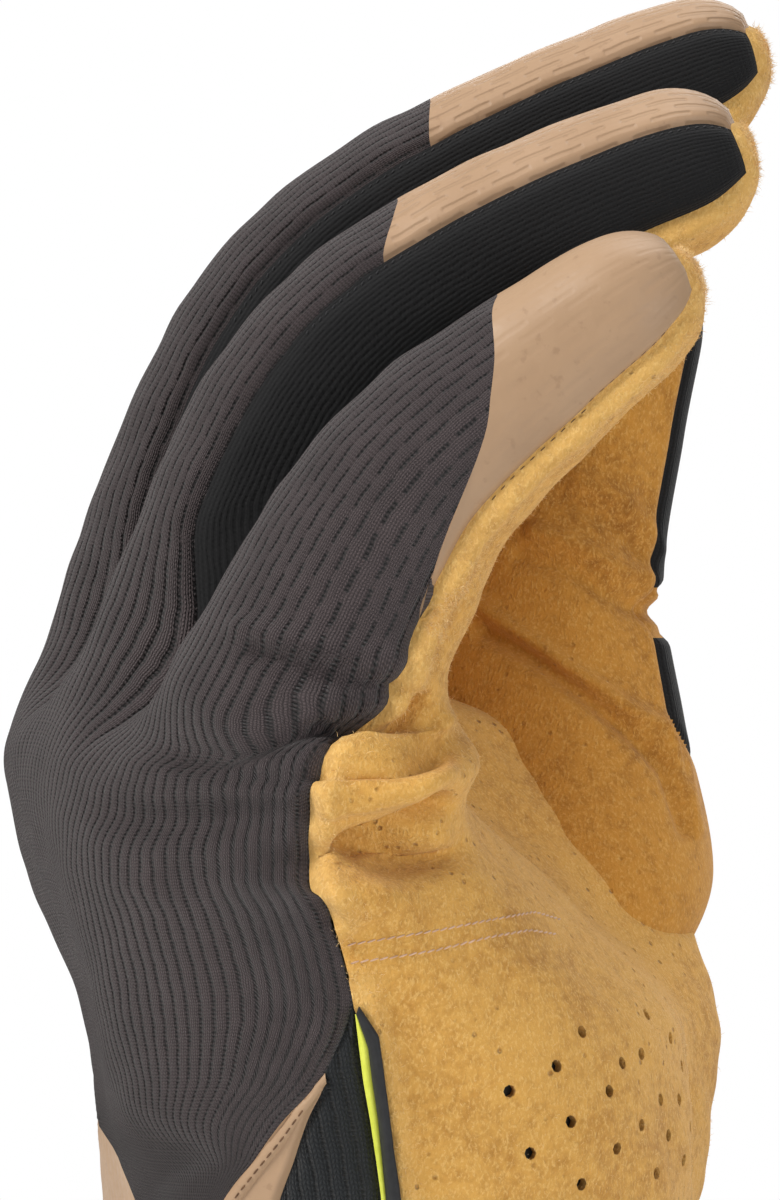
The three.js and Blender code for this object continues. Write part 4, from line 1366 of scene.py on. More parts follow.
@dataclass(frozen=True)
class CapFinish(Finish):
    """Tan film over the knit, with its ribs showing through a little."""

    relief: float = 0.6
    ribs: tuple = (("Rib", 1.7), ("Dash", 6.4), ("Ladder", 0.0), ("Soft", 0.34))

    def make(self, group: NodeTree) -> Material:
        """The material.

        Args:
            group: the shared knit group.

        Returns:
            The material.
        """
        made, sheet, shader = self.start()
        knit = sheet.add("ShaderNodeGroup", node_tree=group)
        sheet.put(knit.inputs["Cloth"], self.cloth(sheet))
        for label, value in self.ribs:
            sheet.put(knit.inputs[label], value)
        place = self.place(sheet)
        soft = sheet.noise(place, 90.0, 3.0, 0.5)
        fine = sheet.noise(place, 1400.0, 2.0, 0.5)
        wear_and_seam_light = sheet.step(sheet.noise(place, 600.0, 3.0), 0.62, 0.74)
        dent = sheet.times(knit.outputs["Groove"], self.relief)
        body = sheet.tint(soft, self.base, self.light)
        body = sheet.tint(sheet.times(wear_and_seam_light, 0.25), body, self.dark)
        body = sheet.tint(sheet.times(dent, 0.12), body, self.dark)
        sheet.put(shader.inputs["Base Color"], body)
        rough = sheet.math("MULTIPLY_ADD", fine, 0.25, self.roughness - 0.1)
        sheet.put(shader.inputs["Roughness"], rough)
        height = sheet.math("MULTIPLY_ADD", fine, 0.06, sheet.times(soft, 0.8))
        self.dent(sheet, shader, sheet.math("SUBTRACT", height, dent))
        return made


@dataclass(frozen=True)
class SuedeFinish(Finish):
    """Brushed golden suede, painted paler along the seams as a highlight on the raised seam rolls."""

    pits: float = 1.0
    wear_and_seam_light: float = 0.0

    def make(self, group: NodeTree) -> Material:
        """The material.

        Args:
            group: the shared suede group.

        Returns:
            The material.
        """
        made, sheet, shader = self.start()
        nap = sheet.add("ShaderNodeGroup", node_tree=group)
        sheet.put(nap.inputs["Cloth"], self.place(sheet))
        sheet.put(nap.inputs["Pits"], self.pits)
        body = sheet.tint(sheet.step(nap.outputs["Mottle"], 0.24, 0.6), self.dark, self.base)
        highlight_and_tone = sheet.times(sheet.step(nap.outputs["Fibre"], 0.47, 0.68), 0.5)
        # Painted highlight: paler within about five millimetres of a seam, where the raised rolls catch the
        # light.
        if self.wear_and_seam_light:
            split = sheet.add("ShaderNodeSeparateXYZ")
            sheet.put(split.inputs[0], sheet.add("ShaderNodeUVMap", uv_map="edge").outputs[0])
            highlight_and_tone = sheet.math("ADD", highlight_and_tone, sheet.step(split.outputs[0], 0.02, 0.5, self.wear_and_seam_light, 0.0), clamp=True)
        sheet.put(shader.inputs["Base Color"], sheet.tint(highlight_and_tone, body, self.light))
        self.dent(sheet, shader, nap.outputs["Height"])
        return made


@dataclass(frozen=True)
class ThreadFinish(Finish):
    """Sewing thread, fuzz and the label's plain weave."""

    weave: float = 900.0

    def make(self) -> Material:
        """The material, with fine colour grain.

        Returns:
            The material.
        """
        made, sheet, shader = self.start()
        place = self.place(sheet)
        grain = sheet.noise(place, self.weave, 2.0, 0.6)
        sheet.put(shader.inputs["Base Color"], sheet.tint(grain, self.dark, self.light))
        self.dent(sheet, shader, grain)
        return made


# The light colour of each knit is the painted highlight on its loop crowns.
KNITS = {
    "knit": KnitFinish(
        "ribbed charcoal knit", colour(27, 22, 23), colour(96, 84, 85), colour(9, 7, 8), 0.85, 0.1, 0.85
    ),
    "black": KnitFinish(
        "black side knit", colour(10, 10, 11), colour(22, 22, 24), colour(9, 10, 11), 0.9, 0.03, 0.07,
        rib=0.62, dash=2.0, loop=0.4, dashes=0.2,
    ),
    "coarse": KnitFinish(
        "black cuff knit", colour(17, 19, 21), colour(40, 43, 46), colour(6, 6, 7), 0.92, 0.06, 0.9,
        rib=1.3, dash=1.6, loop=0.65, dashes=0.8,
    ),
}
FILMS = {
    "film": CapFinish(
        "tan film", colour(156, 125, 95), colour(178, 147, 118), colour(122, 92, 68), 0.5, 0.03, 0.42
    ),
    "smooth film": CapFinish(
        "smooth tan film", colour(157, 126, 97), colour(177, 147, 117), colour(118, 88, 64), 0.46, 0.03, 0.4,
        relief=0.12,
    ),
}
SUEDES = {
    "suede": SuedeFinish(
        "golden suede", colour(220, 167, 84), colour(242, 203, 130), colour(176, 121, 50), 0.95, 0.1, 0.55,
        # painted highlight along the seam rolls
        wear_and_seam_light=0.3,
    ),
    # Painted shade: a darker, more saturated copy of the suede for the thumb, which lies in shade.
    "shaded suede": SuedeFinish(
        "golden suede edge", colour(201, 142, 59), colour(226, 180, 104), colour(150, 96, 33),
        0.95, 0.1, 0.45, pits=0.5,
    ),
}
THREADS = {
    "thread": ThreadFinish(
        "pale thread", colour(214, 178, 150), colour(232, 200, 176), colour(180, 136, 104), 0.6, 0.1, 0.05
    ),
    "dark thread": ThreadFinish(
        "dark thread", colour(22, 23, 25), colour(40, 41, 44), colour(14, 14, 16), 0.6, 0.1, 0.05
    ),
    "seam thread": ThreadFinish(
        "brown seam thread", colour(96, 66, 40), colour(128, 92, 60), colour(60, 40, 24), 0.6, 0.1, 0.05
    ),
    "fuzz": ThreadFinish(
        "golden fuzz", colour(236, 200, 136), colour(246, 220, 168), colour(214, 166, 92), 0.8, 0.2, 0.02
    ),
    "label": ThreadFinish(
        "woven label", colour(214, 220, 72), colour(224, 228, 96), colour(196, 204, 52), 0.55, 0.1, 0.06
    ),
}


@dataclass
class Finishes:
    """Every material of the glove, made once."""

    made: dict = field(default_factory=dict)

    def build(self) -> None:
        """Makes the groups and the materials."""
        knit, suede = knit_group(), suede_group()
        for kinds, group in ((KNITS, knit), (FILMS, knit), (SUEDES, suede)):
            self.made.update({name: finish.make(group) for name, finish in kinds.items()})
        self.made.update({name: finish.make() for name, finish in THREADS.items()})
        log.info("finishes: %d", len(self.made))


# Meshes from the skin

CRISP_ANGLE = math.radians(65)


def mesh_object(name: str, points: Array, faces: list, material: Material) -> Object:
    """A new object from millimetre points, at the origin.

    Args:
        name: the piece's name.
        points: corners in millimetres.
        faces: lists of corner numbers.
        material: its finish.

    Returns:
        The object, linked to the scene.
    """
    mesh = bpy.data.meshes.new(name)
    mesh.from_pydata((np.asarray(points) * MM).tolist(), [], faces)
    mesh.update()
    mesh.materials.append(material)
    made = bpy.data.objects.new(name, mesh)
    bpy.context.scene.collection.objects.link(made)
    for polygon in mesh.polygons:
        polygon.use_smooth = True
    return made


def add_map(piece: Object, name: str, flat: Array) -> None:
    """Gives a piece a flat map, a pair of places for each corner of each face."""
    layer = piece.data.uv_layers.new(name=name)
    layer.data.foreach_set("uv", flat.astype(np.float32).ravel())


def select_only(piece: Object) -> None:
    """Selects one piece, and nothing beside it."""
    bpy.ops.object.select_all(action="DESELECT")
    piece.select_set(True)
    bpy.context.view_layer.objects.active = piece


def add_wall(piece: Object, wall: float) -> None:
    """Gives a sheet its thickness towards the inside and keeps its cut edge crisp.

    Args:
        piece: the sheet.
        wall: thickness in millimetres.
    """
    solid = piece.modifiers.new("wall", "SOLIDIFY")
    solid.thickness = wall * MM
    solid.offset = -1.0
    select_only(piece)
    bpy.ops.object.modifier_apply(modifier=solid.name)
    bpy.ops.object.shade_smooth_by_angle(angle=CRISP_ANGLE)


def settle(piece: Object, slot: str, *nodes: str) -> None:
    """Puts a finished piece on the root body instead of its CAD nodes.

    Args:
        piece: the finished piece.
        slot: not used.
        nodes: CAD nodes that it stands for.
    """
    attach(piece, "root")
    if nodes:
        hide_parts(*nodes)
    log.info("%s: %d faces", piece.name, len(piece.data.polygons))


@dataclass(frozen=True)
class Panel:
    """One panel of the glove: its wall, finish and material slot."""

    name: str
    wall: float
    finish: str
    slot: str


PANELS = (
    Panel("back_panel", 1.6, "knit", "knit"),
    Panel("cap_pinky", 1.4, "smooth film", "cap"),
    *(Panel(f"cap_{name}", 1.4, "film", "cap") for name in ("ring", "middle", "index")),
    Panel("palm_panel", 1.4, "suede", "suede"),
    *(
        Panel(f"fourchette_{pair}", 1.2, "black", "black")
        for pair in ("ring_pinky", "middle_ring", "index_middle")
    ),
    Panel("wrist_panel", 1.4, "smooth film", "cap"),
    *(Panel(name, 1.2, "coarse", "black") for name in ("gusset_ulnar", "gusset_radial", "wrist_cuff")),
)


@dataclass
class Holes:
    """Punched holes in the heel of the palm."""

    radius: float = 0.78
    near: tuple = (
        (512, 1092), (555, 1064), (584, 1034), (574, 1122), (610, 1091), (625, 1065),
        (528, 1152), (617, 1151), (662, 1096), (643, 1125), (584, 1181),
    )
    rows: int = 6
    from_height: float = 0.435
    row_step: float = 0.029
    from_around: float = 8.4
    to_around: float = 7.3
    step: float = 0.46
    apart: float = 4.5
    dip: float = 0.12
    # Painted shade: place and size of the dark disc behind each hole.
    shade_disc_depth: float = 1.7
    shade_disc_size: float = 1.6
    shade_disc_sides: int = 12
    places: list = field(default_factory=list)

    def line(self, finishes: dict) -> None:
        """Painted shade in the holes: one small dark disc behind each.

        Args:
            finishes: the materials by name.
        """
        corners, faces = [], []
        reach = self.shade_disc_size * self.radius
        turns = np.linspace(0, 2 * math.pi, self.shade_disc_sides, endpoint=False)
        for middle, normal in self.places:
            across = np.cross(normal, (0.0, 0.0, 1.0))
            across /= np.linalg.norm(across)
            up = np.cross(normal, across)
            faces.append(list(range(len(corners), len(corners) + self.shade_disc_sides)))
            corners.extend(middle + reach * (math.cos(t) * across + math.sin(t) * up) for t in turns)
        settle(mesh_object("hole_lining", np.array(corners), faces, finishes["dark thread"]), "black")

    def centres(self, dense: DenseSkin, tree: BVHTree) -> list[Vector]:
        """Places of the holes, on the skin.

        Args:
            dense: the skin.
            tree: the same skin as a search tree.

        Returns:
            Those in the picture, then rows over the rest of the heel.
        """
        found = []
        for x, y in self.near:
            start, aim = EYE.ray(x, y)
            hit = tree.ray_cast(start, aim)[0]
            if hit is not None:
                found.append(hit)
        for row in range(self.rows):
            around = self.from_around - (self.step / 2 if row % 2 else 0)
            while around > self.to_around:
                height = self.from_height + row * self.row_step
                place = dense.skin.point(np.array([[around]]), np.array([[height]]))[0, 0]
                hit = tree.find_nearest(Vector(place))[0]
                if all((hit - other).length > self.apart for other in found):
                    found.append(hit)
                around -= self.step
        return found

    def cut(self, dense: DenseSkin, tree: BVHTree) -> set[int]:
        """Takes one point out for each hole and rounds the faces about it.

        Args:
            dense: the skin.
            tree: the same skin as a search tree.

        Returns:
            The points whose faces are left out.
        """
        owners: dict[int, list] = {}
        for number, (face, (name, _)) in enumerate(zip(dense.faces, dense.panels)):
            if name == "palm_panel":
                for corner in face:
                    owners.setdefault(corner, []).append(number)
        inner = [corner for corner, faces in owners.items() if len(faces) == 4]
        lookup = KDTree(len(inner))
        for corner in inner:
            lookup.insert(dense.points[corner], corner)
        lookup.balance()
        gone: set[int] = set()
        moved: set[int] = set()
        for centre in self.centres(dense, tree):
            corner = lookup.find(centre)[1]
            ring = {other for number in owners[corner] for other in dense.faces[number]} - {corner}
            if len(ring) != 8 or ring & moved or corner in moved:
                continue
            middle, normal = dense.points[corner], dense.normals[corner]
            for other in ring:
                out = dense.points[other] - middle
                out -= normal * (out @ normal)
                dense.points[other] = middle + out / np.linalg.norm(out) * self.radius - normal * self.dip
            gone.add(corner)
            moved |= ring
            self.places.append((middle - normal * self.shade_disc_depth, normal))
        log.info("punched holes: %d", len(gone))
        return gone


@dataclass
class Shell:
    """Cuts the dense skin into panels with walls."""

    dense: DenseSkin
    finishes: dict

    def build(self, gone: set[int]) -> None:
        """Builds every panel as its own piece.

        Args:
            gone: points whose faces are left out, for the punched holes.
        """
        by_panel: dict[str, list] = {}
        for face, (name, cloth) in zip(self.dense.faces, self.dense.panels):
            if name == "palm_panel" and gone.intersection(face):
                continue
            by_panel.setdefault(name, []).append((face, cloth))
        for panel in PANELS:
            entries = by_panel[panel.name]
            used = sorted({corner for face, _ in entries for corner in face})
            order = {corner: i for i, corner in enumerate(used)}
            faces = [[order[corner] for corner in face] for face, _ in entries]
            finish = self.finishes[panel.finish]
            piece = mesh_object(f"look_{panel.name}", self.dense.points[used], faces, finish)
            flat = np.array([uv for _, cloth in entries for uv in cloth], np.float32) / CLOTH_UNIT
            add_map(piece, "cloth", flat)
            gap = self.dense.seam_gap / GAP_UNIT
            near = gap[[corner for face, _ in entries for corner in face]]
            add_map(piece, "edge", np.stack([near, near], axis=-1))
            add_wall(piece, panel.wall)
            settle(piece, panel.slot, panel.name)


# Thumb

THUMB_BACK = Panel("look_thumb_back", 1.2, "black", "black")
# The thumb's suede takes the darker copy of the suede, painted shade.
THUMB_BASE = Panel("thumb_base", 1.4, "shaded suede", "suede")
THUMB_FRONT = Panel("look_thumb_front", 1.4, "shaded suede", "suede")


@dataclass
class Thumb:
    """The thumb's suede front and black back, cut off where they go into the palm."""

    finishes: dict
    hand: BVHTree
    length: float = 98.0
    width: float = 24.5
    base: tuple = (-28.0, 10.0, 66.0)
    back_turn: float = 35.0
    black_half: tuple[float, float] = (64.0, 72.0)
    dome: float = 14.0
    rows: int = 230
    columns: tuple[int, int] = (72, 110)
    black_from: float = 0.33
    notch_at: float = 0.527
    notch: tuple[float, float] = (2.1, 0.02)
    bite: tuple[float, float] = (0.027, 38.0)
    web: tuple[float, float, float] = (6.5, 0.42, 0.15)
    end_curve: float = 0.07
    groove: tuple[float, float] = (0.7, 0.8)
    roll: tuple[float, float, float] = (0.45, 2.0, 1.2)
    sunk: float = -1.6
    creases: tuple = (
        (((535, 530), (570, 540), (615, 565), (650, 580), (657, 605)), 9, 1.0),
        (((520, 556), (570, 570), (610, 596), (644, 612)), 10, -0.9),
        (((475, 600), (525, 635), (575, 670), (625, 705), (660, 725), (680, 760), (695, 830)), 8, 1.2),
        (((480, 632), (530, 658), (585, 697), (635, 737), (668, 772), (688, 830)), 8, -1.7),
        (((580, 480), (625, 500), (660, 550)), 10, 0.7),
        (((560, 500), (605, 520), (640, 552)), 9, -0.7),
    )
    line: tuple = (
        (0, 0, 0.06, 0, 1.15),
        (0.22, -0.08, 0.14, 0.21, 1.35),
        (0.4, -0.13, 0.13, 0.4, 1.15),
        (0.55, -0.16, 0.12, 0.56, 1.03),
        (0.75, -0.18, 0.15, 0.76, 1.0),
        (0.92, -0.175, 0.185, 0.925, 0.96),
        (1, -0.17, 0.195, 1.0, 0.92),
    )

    def point(self, share: Array, turn: Array) -> Array:
        """Point on the thumb's skin.

        Args:
            share: share of its length.
            turn: degrees from its black back.

        Returns:
            Points with a last axis of x, y, z.
        """
        share, turn = np.broadcast_arrays(np.asarray(share, float), np.asarray(turn, float))
        at = np.array([row[0] for row in self.line], float)
        columns = [np.array([row[i] for row in self.line], float) for i in (1, 2, 3, 4)]
        x, y, z, size = (through(at, column, share) for column in columns)
        dome_from = 1 - self.dome / self.length
        past = np.maximum(0, (share - dome_from) / (1 - dome_from))
        radius = size * self.width * np.sqrt(np.maximum(0, 1 - past**DOME_POWER)) / 2
        facing = np.radians(self.back_turn + turn)
        depth, middle, tall = self.web
        web = depth * np.exp(-(((share - middle) / tall) ** 2)) * np.maximum(0, -np.cos(facing)) ** 2
        depth, tall = self.notch
        notch = depth * np.exp(-(((share - self.notch_at) / tall) ** 2)) * np.maximum(0, np.cos(facing)) ** 2
        x = self.base[0] + x * self.length - radius * np.sin(facing)
        y = self.base[1] + y * self.length + radius * np.cos(facing) - web - notch
        return np.stack([x, y, self.base[2] + z * self.length], axis=-1)

    def depth(self, point: Array) -> float:
        """Distance outside the hand's skin, - inside."""
        place, normal, _, _ = self.hand.find_nearest(Vector(point))
        return (Vector(point) - place).dot(normal)

    def black_zone(self, share: Array, turn: Array) -> tuple[Array, Array]:
        """Where the thumb's back is black: above a rounded end and outside the joint's notch.

        Args:
            share: share of the thumb's length.
            turn: degrees from its black back.

        Returns:
            Whether each place is black, and its distance from the zone's edge in millimetres.
        """
        share, turn = np.broadcast_arrays(share, turn)
        end = self.black_from + self.end_curve * (turn / self.black_half[0]) ** 2
        tall, wide = self.bite
        bite = (((share - self.notch_at) / tall) ** 6 + ((turn + self.black_half[0]) / wide) ** 6) ** (1 / 6)
        inside = (share > end) & (bite > 1)
        gap = np.minimum(np.abs(share - end) * self.length, np.abs(bite - 1) * 3)
        return inside, gap

    def build(self) -> None:
        """Black back, suede front and the suede below the black."""
        share = np.linspace(0, 1, self.rows + 1)
        share = (1 - (1 - share) ** 1.25)[:, None]
        near, far = self.black_half
        groove_depth, groove_width = self.groove
        lift, roll_at, roll_width = self.roll
        sides = ((-near, far, self.columns[0], True), (far, 360 - near, self.columns[1], False))
        for first, last, columns, dark in sides:
            turn = mix(first, last, np.linspace(0, 1, columns + 1)[None])
            grid = self.point(share, turn)
            edge = np.minimum(turn - first, last - turn) * math.pi / 180 * self.width / 2
            inside, zone_gap = self.black_zone(share, np.where(turn > 180, turn - 360, turn))
            edge = np.minimum(edge, zone_gap) if dark else edge
            facing = np.radians(self.back_turn + turn)
            out = np.stack([-np.sin(facing), np.cos(facing), 0 * turn], axis=-1)
            reach = ease(self.black_from - 0.02, self.black_from + 0.01, share)
            moved = -groove_depth * np.exp(-((edge / groove_width) ** 2)) * reach
            if not dark:
                reach = ease(self.black_from, self.black_from + 0.05, share)
                moved += lift * np.exp(-(((edge - roll_at) / roll_width) ** 2)) * reach
            seen = EYE.seen(grid).reshape(-1, 2)
            for line, width, depth in self.creases:
                gap = line_distance(seen, line).reshape(grid.shape[:2])
                moved += depth * np.exp(-((gap / width) ** 2)) * np.clip(out[..., 0] * 2.5, 0, 1)
            grid = grid + out * (moved * np.clip((1 - share) * 12, 0, 1))[..., None]
            deep = np.array([[self.depth(point) for point in row] for row in grid.tolist()])
            flat = np.broadcast_arrays(np.radians(turn) * self.width / 2, share * self.length)
            cloth = np.stack(flat, axis=-1)
            if dark:
                middle = inside[:-1, :-1] & inside[1:, 1:]
                self.half(THUMB_BACK, grid, cloth, deep, middle, "thumb_back")
                self.half(THUMB_BASE, grid, cloth, deep, ~middle)
            else:
                whole = np.ones((len(grid) - 1, columns), bool)
                self.half(THUMB_FRONT, grid, cloth, deep, whole, "thumb_front")

    def half(self, panel: Panel, grid: Array, cloth: Array, deep: Array, taken: Array, *nodes: str) -> None:
        """One stretch of the thumb as a piece with its wall.

        Args:
            panel: its name, wall, finish and slot.
            grid: rows x columns of points.
            cloth: cloth coordinates of the points.
            deep: distance of each point outside the hand.
            taken: which faces of the grid it has.
            nodes: CAD nodes that it stands for.
        """
        rows, columns = grid.shape[:2]
        index = np.arange(rows * columns).reshape(rows, columns)
        quads = np.stack([index[:-1, :-1], index[:-1, 1:], index[1:, 1:], index[1:, :-1]], axis=-1)
        flat_deep, points = deep.ravel(), grid.reshape(-1, 3)
        owned = [quad for quad, own in zip(quads.reshape(-1, 4).tolist(), taken.ravel()) if own]
        kept = [quad for quad in owned if max(flat_deep[quad]) > self.sunk]
        used = sorted({corner for quad in kept for corner in quad})
        order = {corner: i for i, corner in enumerate(used)}
        faces = [[order[corner] for corner in quad] for quad in kept]
        piece = mesh_object(panel.name, points[used], faces, self.finishes[panel.finish])
        uv = cloth.reshape(-1, 2)[[corner for quad in kept for corner in quad]] / CLOTH_UNIT
        add_map(piece, "cloth", uv)
        select_only(piece)
        bpy.ops.object.mode_set(mode="EDIT")
        bpy.ops.mesh.select_all(action="SELECT")
        bpy.ops.mesh.remove_doubles(threshold=0.00002)
        bpy.ops.object.mode_set(mode="OBJECT")
        add_wall(piece, panel.wall)
        settle(piece, panel.slot, *nodes)


# Thread, fuzz and label


SEEN_STEP = 4  # picture points between the places of a line on the skin


def between(first: tuple, last: tuple, share: float) -> tuple:
    """The line part way between two picture lines that have as many points."""
    return tuple((mix(a[0], b[0], share), mix(a[1], b[1], share)) for a, b in zip(first, last))


@dataclass
class Stitching:
    """Rows of small thread stitches that lie on the skin."""

    tree: BVHTree
    finishes: dict
    sides: int = 6
    ribbon_columns: int = 6
    ribbon_rows: int = 60
    ribbon_edge: float = -0.3

    def shape(self) -> tuple[Array, list]:
        """One stitch of unit length and unit radius, lying along X.

        Returns:
            Corners and faces.
        """
        rings = ((-0.5, 0.35), (-0.36, 0.85), (0.0, 1.0), (0.36, 0.85), (0.5, 0.35))
        n, last = self.sides, len(rings) - 1
        turns = [2 * math.pi * k / n for k in range(n)]
        corners = [(x, size * math.cos(turn), size * math.sin(turn)) for x, size in rings for turn in turns]
        faces = []
        for i in range(last):
            for k in range(n):
                m = (k + 1) % n
                faces.append([i * n + k, i * n + m, (i + 1) * n + m, (i + 1) * n + k])
        faces.append(list(range(n))[::-1])
        faces.append(list(range(last * n, (last + 1) * n)))
        return np.array(corners), faces

    def along(self, points: Array, pitch: float) -> Array:
        """Even places along a line.

        Args:
            points: the line.
            pitch: distance from place to place.

        Returns:
            The places.
        """
        steps = np.linalg.norm(np.diff(points, axis=0), axis=1)
        run = np.concatenate([[0], np.cumsum(steps)])
        at = np.arange(0, run[-1], pitch)
        return np.stack([np.interp(at, run, points[:, i]) for i in range(3)], axis=-1)

    def row(
        self, points: Array, pitch: float, length: float, radius: float, lean: float, lift: float
    ) -> tuple[list, list]:
        """Stitches along one line.

        Args:
            points: the line, near the skin.
            pitch: distance from stitch to stitch.
            length: of one stitch.
            radius: half its thickness.
            lean: turn of a stitch across the line, in radians.
            lift: height of its middle over the skin.

        Returns:
            Corners and faces of all its stitches.
        """
        places = self.along(points, pitch)
        shape, shape_faces = self.shape()
        corners, faces = [], []
        for i in range(len(places) - 1):
            middle = (places[i] + places[i + 1]) / 2
            hit, normal, _, _ = self.tree.find_nearest(Vector(middle))
            run = Vector(places[i + 1] - places[i])
            run = (run - normal * run.dot(normal)).normalized()
            side = normal.cross(run)
            turned = run * math.cos(lean) + side * math.sin(lean)
            side = normal.cross(turned)
            basis = np.array([turned * length, side * radius, normal * radius])
            start = len(corners)
            corners.extend((shape @ basis + np.array(hit + normal * lift)).tolist())
            faces.extend([[corner + start for corner in face] for face in shape_faces])
        return corners, faces

    def seen_line(self, line: tuple) -> Array:
        """A picture line carried onto the skin.

        Args:
            line: its picture points.

        Returns:
            Close places on the skin.
        """
        dense = []
        for (ax, ay), (bx, by) in zip(line[:-1], line[1:]):
            count = max(2, int(math.hypot(bx - ax, by - ay) / SEEN_STEP))
            dense.extend((mix(ax, bx, t), mix(ay, by, t)) for t in np.linspace(0, 1, count, endpoint=False))
        dense.append(line[-1])
        found = []
        for x, y in dense:
            start, aim = EYE.ray(x, y)
            hit = self.tree.ray_cast(start, aim)[0]
            if hit is not None:
                found.append(tuple(hit))
        return np.array(found)

    def ribbon(self, first: tuple, last: tuple, lift: float) -> tuple[list, list]:
        """A raised band between two picture lines, rounded down to the skin at both edges.

        Args:
            first: one long edge in picture points.
            last: the other long edge, as many points.
            lift: height of its middle over the skin.

        Returns:
            Corners and faces.
        """
        across, count = self.ribbon_columns, self.ribbon_rows
        rows = []
        for j in range(across + 1):
            t = j / across
            line = self.seen_line(between(first, last, t))
            knots = np.linspace(0, 1, len(line))
            at = np.linspace(0, 1, count)
            even = np.stack([np.interp(at, knots, line[:, i]) for i in range(3)], axis=-1)
            height = lift * math.sin(math.pi * t) ** 0.5 if 0 < j < across else self.ribbon_edge
            for place in even.tolist():
                hit, normal, _, _ = self.tree.find_nearest(Vector(place))
                rows.append(tuple(hit + normal * height))
        faces = []
        for j in range(across):
            for i in range(count - 1):
                a = j * count + i
                faces.append([a, a + count, a + count + 1, a + 1])
        middle = faces[len(faces) // 2]
        corner, side, ahead = (Vector(rows[middle[k]]) for k in (0, 1, 3))
        _, normal, _, _ = self.tree.find_nearest(corner)
        if (side - corner).cross(ahead - corner).dot(normal) < 0:
            faces = [face[::-1] for face in faces]
        return rows, faces

    def build(self, name: str, rows: list, finish: str, slot: str) -> None:
        """All rows of one thread as a piece.

        Args:
            name: the piece's name.
            rows: tuples of corners and faces.
            finish: name of its material.
            slot: the record's slot.
        """
        corners, faces = [], []
        for more_corners, more_faces in rows:
            start = len(corners)
            corners.extend(more_corners)
            faces.extend([[corner + start for corner in face] for face in more_faces])
        if faces:
            settle(mesh_object(name, np.array(corners), faces, self.finishes[finish]), slot)


@dataclass
class Fuzz:
    """Short loose fibres on the suede, thickest along its cut edges."""

    dense: DenseSkin
    finishes: dict
    on_edges: int = 12000
    on_face: int = 8000
    seed: int = 7
    above: float = 30.0
    edge_from: float = 0.9
    edge_to: float = 4.2
    half_width: float = 0.032

    def build(self) -> None:
        """Thin curved blades as one piece."""
        chance = np.random.default_rng(self.seed)
        suede = np.zeros(len(self.dense.points), bool)
        other = np.zeros(len(self.dense.points), bool)
        for face, (name, _) in zip(self.dense.faces, self.dense.panels):
            (suede if kind_of(name) == "suede" else other)[face] = True
        gap, height = self.dense.seam_gap, self.dense.points[:, 2]
        suede &= ~other & (height > self.above)
        edge = np.flatnonzero(suede & (gap > self.edge_from) & (gap < self.edge_to))
        inner = np.flatnonzero(suede & (gap >= self.edge_to))
        at = np.concatenate([chance.choice(edge, self.on_edges), chance.choice(inner, self.on_face)])
        size = np.concatenate(
            [chance.uniform(0.25, 0.8, self.on_edges), chance.uniform(0.2, 0.5, self.on_face)]
        )[:, None]
        root = self.dense.points[at] + chance.normal(0, 0.3, (len(at), 3))
        normal = self.dense.normals[at]
        root += normal * (0.02 - np.sum((root - self.dense.points[at]) * normal, axis=1, keepdims=True))
        aim = normal * chance.uniform(0.25, 0.9, (len(at), 1)) + chance.normal(0, 0.6, (len(at), 3))
        aim /= np.linalg.norm(aim, axis=1, keepdims=True)
        bend = chance.normal(0, 0.35, (len(at), 3))
        across = np.cross(aim, chance.normal(0, 1, (len(at), 3)))
        across *= self.half_width / np.linalg.norm(across, axis=1, keepdims=True)
        middle = root + aim * size * 0.55
        tip = root + (aim + bend) * size
        sides = [root - across, root + across, middle + across * 0.8, middle - across * 0.8]
        corners = np.stack([*sides, tip], axis=1)
        start = np.arange(len(at))[:, None] * 5
        faces = (start + np.array([[0, 1, 2, 3]])).tolist() + (start + np.array([[3, 2, 4]])).tolist()
        settle(mesh_object("suede_fuzz", corners.reshape(-1, 3), faces, self.finishes["fuzz"]), "suede")


